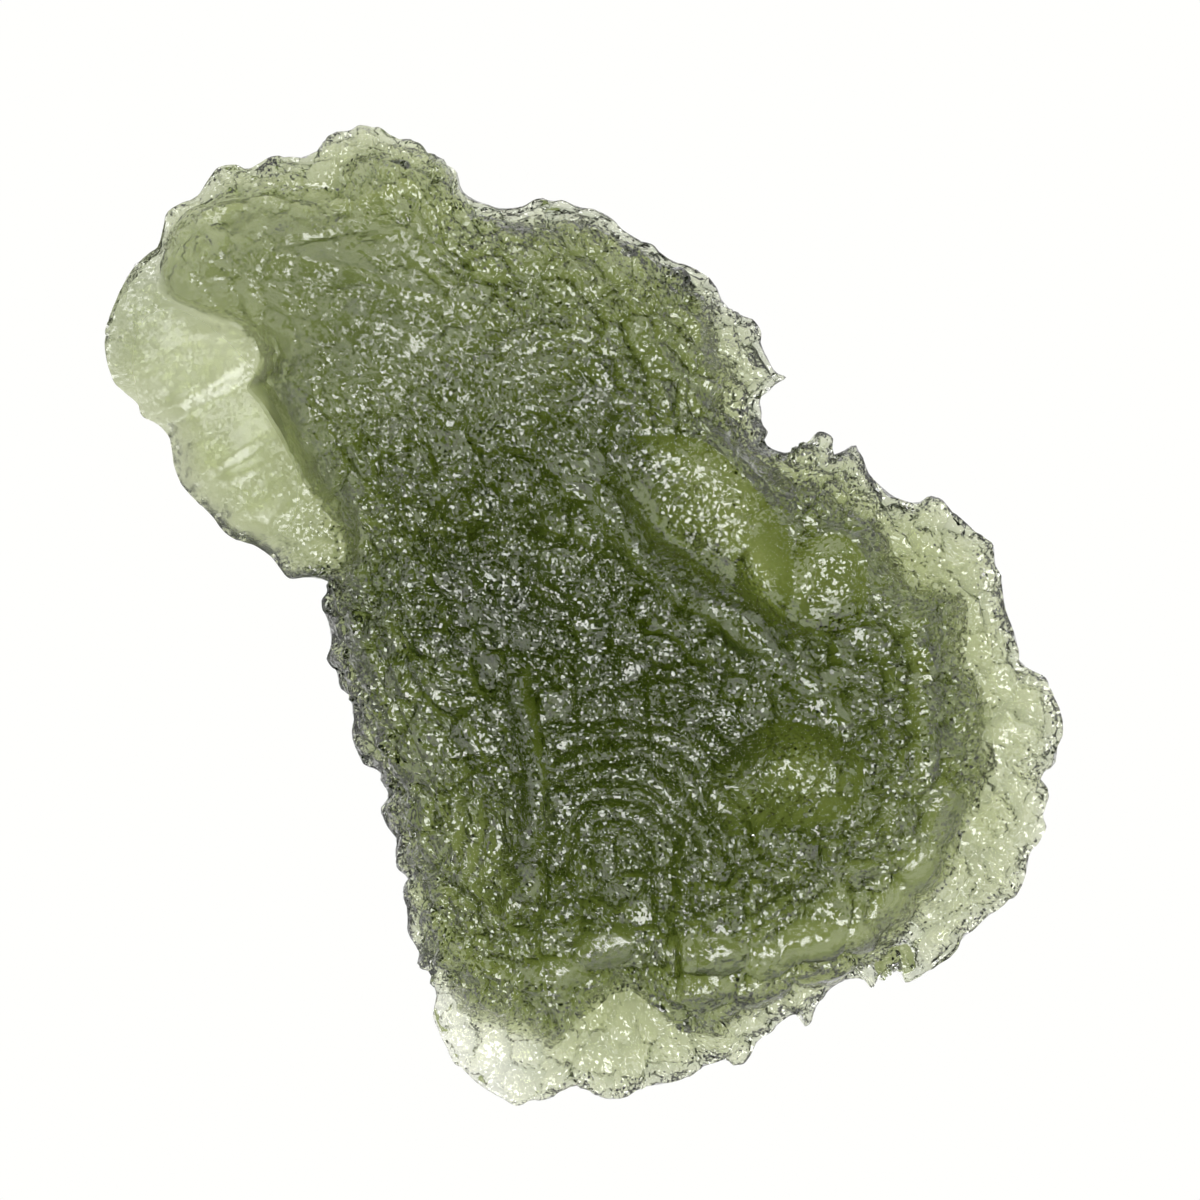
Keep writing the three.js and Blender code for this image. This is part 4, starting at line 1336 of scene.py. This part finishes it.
@dataclass(frozen=True)
class GlassFinish:
    """Green natural glass with an etched, glinting skin.

    The patterns read Object coordinates, and the skin's own glint, satin and shade, the last being
    painted shade and painted light in its base colour.
    """

    ior: float = 1.49
    roughness: float = 0.04
    satin_roughness: float = 0.3
    absorption: Colour = (0.42, 0.49, 0.04)
    density: float = 760.0
    # Painted light and painted shade: the base colour runs from the first to the second as the
    # shade rises.
    painted_light_tint: Colour = (1.0, 1.0, 0.93)
    painted_shade_tint: Colour = (0.4, 0.44, 0.32)
    facet_size: float = 0.085  # millimetres
    facet_depth: float = 0.012  # millimetres
    facet_slope: float = 1.5
    grain_detail: float = 2.0
    grain_roughness: float = 0.6
    mean_colour: Colour = (0.5, 0.5, 0.5)  # of the cells, which leaves slants to all sides

    def make(self) -> bpy.types.Material:
        """Builds the material.

        Returns:
            The glass.
        """
        material = bpy.data.materials.new("moldavite_glass")
        material.use_nodes = True
        tree = material.node_tree
        shader = tree.nodes["Principled BSDF"]
        shader.inputs["IOR"].default_value = self.ior
        shader.inputs["Transmission Weight"].default_value = 1.0
        self.add_bump(tree, shader)
        self.add_roughness(tree, shader)
        self.add_painted_shade(tree, shader)
        volume = tree.nodes.new("ShaderNodeVolumeAbsorption")
        volume.inputs["Color"].default_value = (*self.absorption, 1)
        volume.inputs["Density"].default_value = self.density
        tree.links.new(volume.outputs["Volume"], tree.nodes["Material Output"].inputs["Volume"])
        return material

    def skin_value(self, tree: bpy.types.NodeTree, name: str) -> bpy.types.NodeSocket:
        """Reads one of the skin's own values.

        Args:
            tree: The material's nodes.
            name: The value's name on the mesh.

        Returns:
            The socket that gives it.
        """
        reader = tree.nodes.new("ShaderNodeAttribute")
        reader.attribute_name = name
        return reader.outputs["Fac"]

    def facets(self, tree: bpy.types.NodeTree, place: bpy.types.NodeSocket) -> bpy.types.NodeSocket:
        """Small flat facets: in each Voronoi cell a plane with the slant of the cell's colour.

        Args:
            tree: The material's nodes.
            place: The socket that gives Object coordinates.

        Returns:
            The socket that gives the height, in parts of the facets' depth.
        """
        cell = tree.nodes.new("ShaderNodeTexVoronoi")
        cell.inputs["Scale"].default_value = 1 / (self.facet_size * MM)
        tree.links.new(place, cell.inputs["Vector"])
        away = tree.nodes.new("ShaderNodeVectorMath")
        away.operation = "SUBTRACT"
        tree.links.new(place, away.inputs[0])
        tree.links.new(cell.outputs["Position"], away.inputs[1])
        slant = tree.nodes.new("ShaderNodeVectorMath")
        slant.operation = "SUBTRACT"
        slant.inputs[1].default_value = self.mean_colour
        tree.links.new(cell.outputs["Color"], slant.inputs[0])
        plane = tree.nodes.new("ShaderNodeVectorMath")
        plane.operation = "DOT_PRODUCT"
        tree.links.new(away.outputs["Vector"], plane.inputs[0])
        tree.links.new(slant.outputs["Vector"], plane.inputs[1])
        height = tree.nodes.new("ShaderNodeMath")
        height.operation = "MULTIPLY"
        height.inputs[1].default_value = self.facet_slope / (self.facet_depth * MM)
        tree.links.new(plane.outputs["Value"], height.inputs[0])
        return height.outputs["Value"]

    def add_bump(self, tree: bpy.types.NodeTree, shader: bpy.types.Node) -> None:
        """Adds the facets and a grain twice their size as bump, as strong as the skin glints.

        Args:
            tree: The material's nodes.
            shader: The glass shader.
        """
        place = tree.nodes.new("ShaderNodeTexCoord").outputs["Object"]
        grain_noise = tree.nodes.new("ShaderNodeTexNoise")
        grain_noise.inputs["Scale"].default_value = 1 / (2 * self.facet_size * MM)
        grain_noise.inputs["Detail"].default_value = self.grain_detail
        grain_noise.inputs["Roughness"].default_value = self.grain_roughness
        tree.links.new(place, grain_noise.inputs["Vector"])
        height = tree.nodes.new("ShaderNodeMath")
        height.operation = "ADD"
        tree.links.new(self.facets(tree, place), height.inputs[0])
        tree.links.new(grain_noise.outputs["Fac"], height.inputs[1])
        bump = tree.nodes.new("ShaderNodeBump")
        bump.inputs["Distance"].default_value = self.facet_depth * MM
        tree.links.new(self.skin_value(tree, "glint"), bump.inputs["Strength"])
        tree.links.new(height.outputs["Value"], bump.inputs["Height"])
        tree.links.new(bump.outputs["Normal"], shader.inputs["Normal"])

    def add_roughness(self, tree: bpy.types.NodeTree, shader: bpy.types.Node) -> None:
        """Makes the skin rougher where it is satin.

        Args:
            tree: The material's nodes.
            shader: The glass shader.
        """
        rough = tree.nodes.new("ShaderNodeMapRange")
        rough.inputs["To Min"].default_value = self.roughness
        rough.inputs["To Max"].default_value = self.satin_roughness
        tree.links.new(self.skin_value(tree, "satin"), rough.inputs["Value"])
        tree.links.new(rough.outputs["Result"], shader.inputs["Roughness"])

    def add_painted_shade(self, tree: bpy.types.NodeTree, shader: bpy.types.Node) -> None:
        """Paints light and shade on the skin: a base colour from the painted light tint to the
        painted shade tint.

        Args:
            tree: The material's nodes.
            shader: The glass shader.
        """
        tint = tree.nodes.new("ShaderNodeMix")
        tint.data_type = "RGBA"
        tint.inputs["A"].default_value = (*self.painted_light_tint, 1)
        tint.inputs["B"].default_value = (*self.painted_shade_tint, 1)
        tree.links.new(self.skin_value(tree, "shade"), tint.inputs["Factor"])
        tree.links.new(tint.outputs["Result"], shader.inputs["Base Color"])


@dataclass(frozen=True)
class LightTable:
    """A wide pale floor that glows evenly and turns up all round into a bowl, in metres.

    The bowl glows more strongly from half of its bend upwards.
    """

    inner_radii: tuple[float, float, float] = (0.0005, 0.05, 0.15)
    flat_radius: float = 0.34
    bend_radius: float = 0.16
    wall_height: float = 0.42
    bend_steps: int = 16
    turn_steps: int = 96
    glow: float = 1.0
    wall_glow: float = 2.5
    colour: Colour = (1.0, 1.0, 0.985)

    def build(self) -> bpy.types.Object:
        """Spins a profile, flat and then a quarter circle upwards, about the upright axis.

        Returns:
            The floor.
        """
        angle = np.linspace(0, math.pi / 2, self.bend_steps + 1)
        bend_out = self.flat_radius + self.bend_radius * np.sin(angle)
        bend_up = self.bend_radius * (1 - np.cos(angle))
        radius = np.concatenate([self.inner_radii, bend_out, bend_out[-1:]])[:, None]
        height = np.concatenate([np.zeros(len(self.inner_radii)), bend_up, [self.wall_height]])
        turn = 2 * math.pi * np.arange(self.turn_steps) / self.turn_steps
        level = np.broadcast_to(height[:, None], (len(radius), self.turn_steps))
        points = np.stack([radius * np.cos(turn), radius * np.sin(turn), level], axis=-1)
        rings = np.arange(level.size).reshape(level.shape)
        after = np.roll(rings, -1, axis=1)
        quads = np.stack([rings[:-1], rings[1:], after[1:], after[:-1]], axis=-1).reshape(-1, 4)
        faces = [rings[0][::-1].tolist()] + quads.tolist()
        mesh = bpy.data.meshes.new("light_table")
        mesh.from_pydata(points.reshape(-1, 3).tolist(), [], faces)
        mesh.shade_smooth()
        mesh.materials.append(self.finish("light_table_white", self.glow))
        mesh.materials.append(self.finish("light_table_wall", self.wall_glow))
        floor_bands = len(self.inner_radii) + self.bend_steps // 2
        on_wall = np.arange(len(faces)) > floor_bands * self.turn_steps
        mesh.polygons.foreach_set("material_index", on_wall.astype(np.int32))
        floor = bpy.data.objects.new("light_table", mesh)
        bpy.context.collection.objects.link(floor)
        return floor

    def finish(self, name: str, glow: float) -> bpy.types.Material:
        """A white that glows and mirrors nothing.

        It isn't sampled as a lamp: the rays that leave the stone find it all round anyway.

        Args:
            name: The material's name.
            glow: How strongly it glows.

        Returns:
            The material.
        """
        material = bpy.data.materials.new(name)
        material.use_nodes = True
        shader = material.node_tree.nodes["Principled BSDF"]
        shader.inputs["Base Color"].default_value = (0.0, 0.0, 0.0, 1)
        shader.inputs["Specular IOR Level"].default_value = 0.0
        shader.inputs["Emission Color"].default_value = (*self.colour, 1)
        shader.inputs["Emission Strength"].default_value = glow
        material.cycles.emission_sampling = "NONE"
        return material


@dataclass(frozen=True)
class Lamp:
    """A square soft light: its turn and height in degrees, its side in metres, its radiance."""

    turn: float
    rise: float
    side: float
    radiance: float


class LightRole(Enum):
    """The soft lights above the table."""

    KEY = Lamp(turn=6.0, rise=66.0, side=0.19, radiance=15.0)
    FILL = Lamp(turn=150.0, rise=56.0, side=0.14, radiance=9.0)
    BACK = Lamp(turn=265.0, rise=52.0, side=0.08, radiance=16.0)


@dataclass(frozen=True)
class Studio:
    """Soft lights, a dim surround and the camera straight above."""

    light_distance: float = 0.30
    surround: float = 0.2
    surround_colour: Colour = (0.95, 0.98, 1.0)
    lens: float = 300.0
    sensor_width: float = 36.0
    clip_end: float = 5.0
    rim_height: float = 2.2  # millimetres above the floor, where the view is as wide as the sheet

    def add_light(self, role: LightRole) -> None:
        """Hangs one square light and points it at the stone.

        Args:
            role: Which of the lights.
        """
        lamp = role.value
        light = bpy.data.lights.new(role.name.lower() + "_light", "AREA")
        light.size = lamp.side
        light.energy = lamp.radiance * math.pi * lamp.side ** 2
        hung = bpy.data.objects.new(light.name, light)
        turn, rise = math.radians(lamp.turn), math.radians(lamp.rise)
        aim = (math.cos(turn) * math.cos(rise), math.sin(turn) * math.cos(rise), math.sin(rise))
        hung.location = [self.light_distance * value for value in aim]
        hung.rotation_euler = (math.pi / 2 - rise, 0, turn + math.pi / 2)
        bpy.context.collection.objects.link(hung)

    def add_surround(self) -> None:
        """Fills the room with dim even light, which isn't sampled as a lamp either."""
        world = bpy.data.worlds.new("surround")
        world.use_nodes = True
        background = world.node_tree.nodes["Background"]
        background.inputs["Color"].default_value = (*self.surround_colour, 1)
        background.inputs["Strength"].default_value = self.surround
        world.cycles.sampling_method = "NONE"
        bpy.context.scene.world = world

    def add_camera(self, middle: Array, turn: float) -> None:
        """Puts the camera above the middle of the sheet, looking straight down on all of it.

        Args:
            middle: The sheet's middle in the frame, in metres.
            turn: How far the sheet is turned in the frame, in degrees.
        """
        camera = bpy.data.cameras.new("camera")
        camera.lens = self.lens
        camera.sensor_width = self.sensor_width
        camera.clip_end = self.clip_end
        seat = bpy.data.objects.new("camera", camera)
        distance = SHEET_SIDE * MM * self.lens / self.sensor_width
        seat.location = (middle[0], middle[1], distance + self.rim_height * MM)
        seat.rotation_euler = (0, 0, math.radians(turn))
        bpy.context.collection.objects.link(seat)
        bpy.context.scene.camera = seat


def main() -> None:
    """Builds the stone, its table, lights and camera."""
    logging.basicConfig(level=logging.INFO, format="%(message)s")
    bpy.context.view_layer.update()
    builder = Moldavite()
    stone = builder.build()
    stone.data.materials.append(GlassFinish().make())
    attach(stone, "root")
    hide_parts(NODE)
    log.info("stone: %d points, %d faces", len(stone.data.vertices), len(stone.data.polygons))
    table = LightTable().build()
    log.info("light table: %d faces", len(table.data.polygons))
    studio = Studio()
    for role in LightRole:
        studio.add_light(role)
    studio.add_surround()
    studio.add_camera(builder.picture_middle(), builder.long_axis_turn)
    bpy.context.scene.view_settings.view_transform = "Standard"


if __name__ == "__main__":
    main()
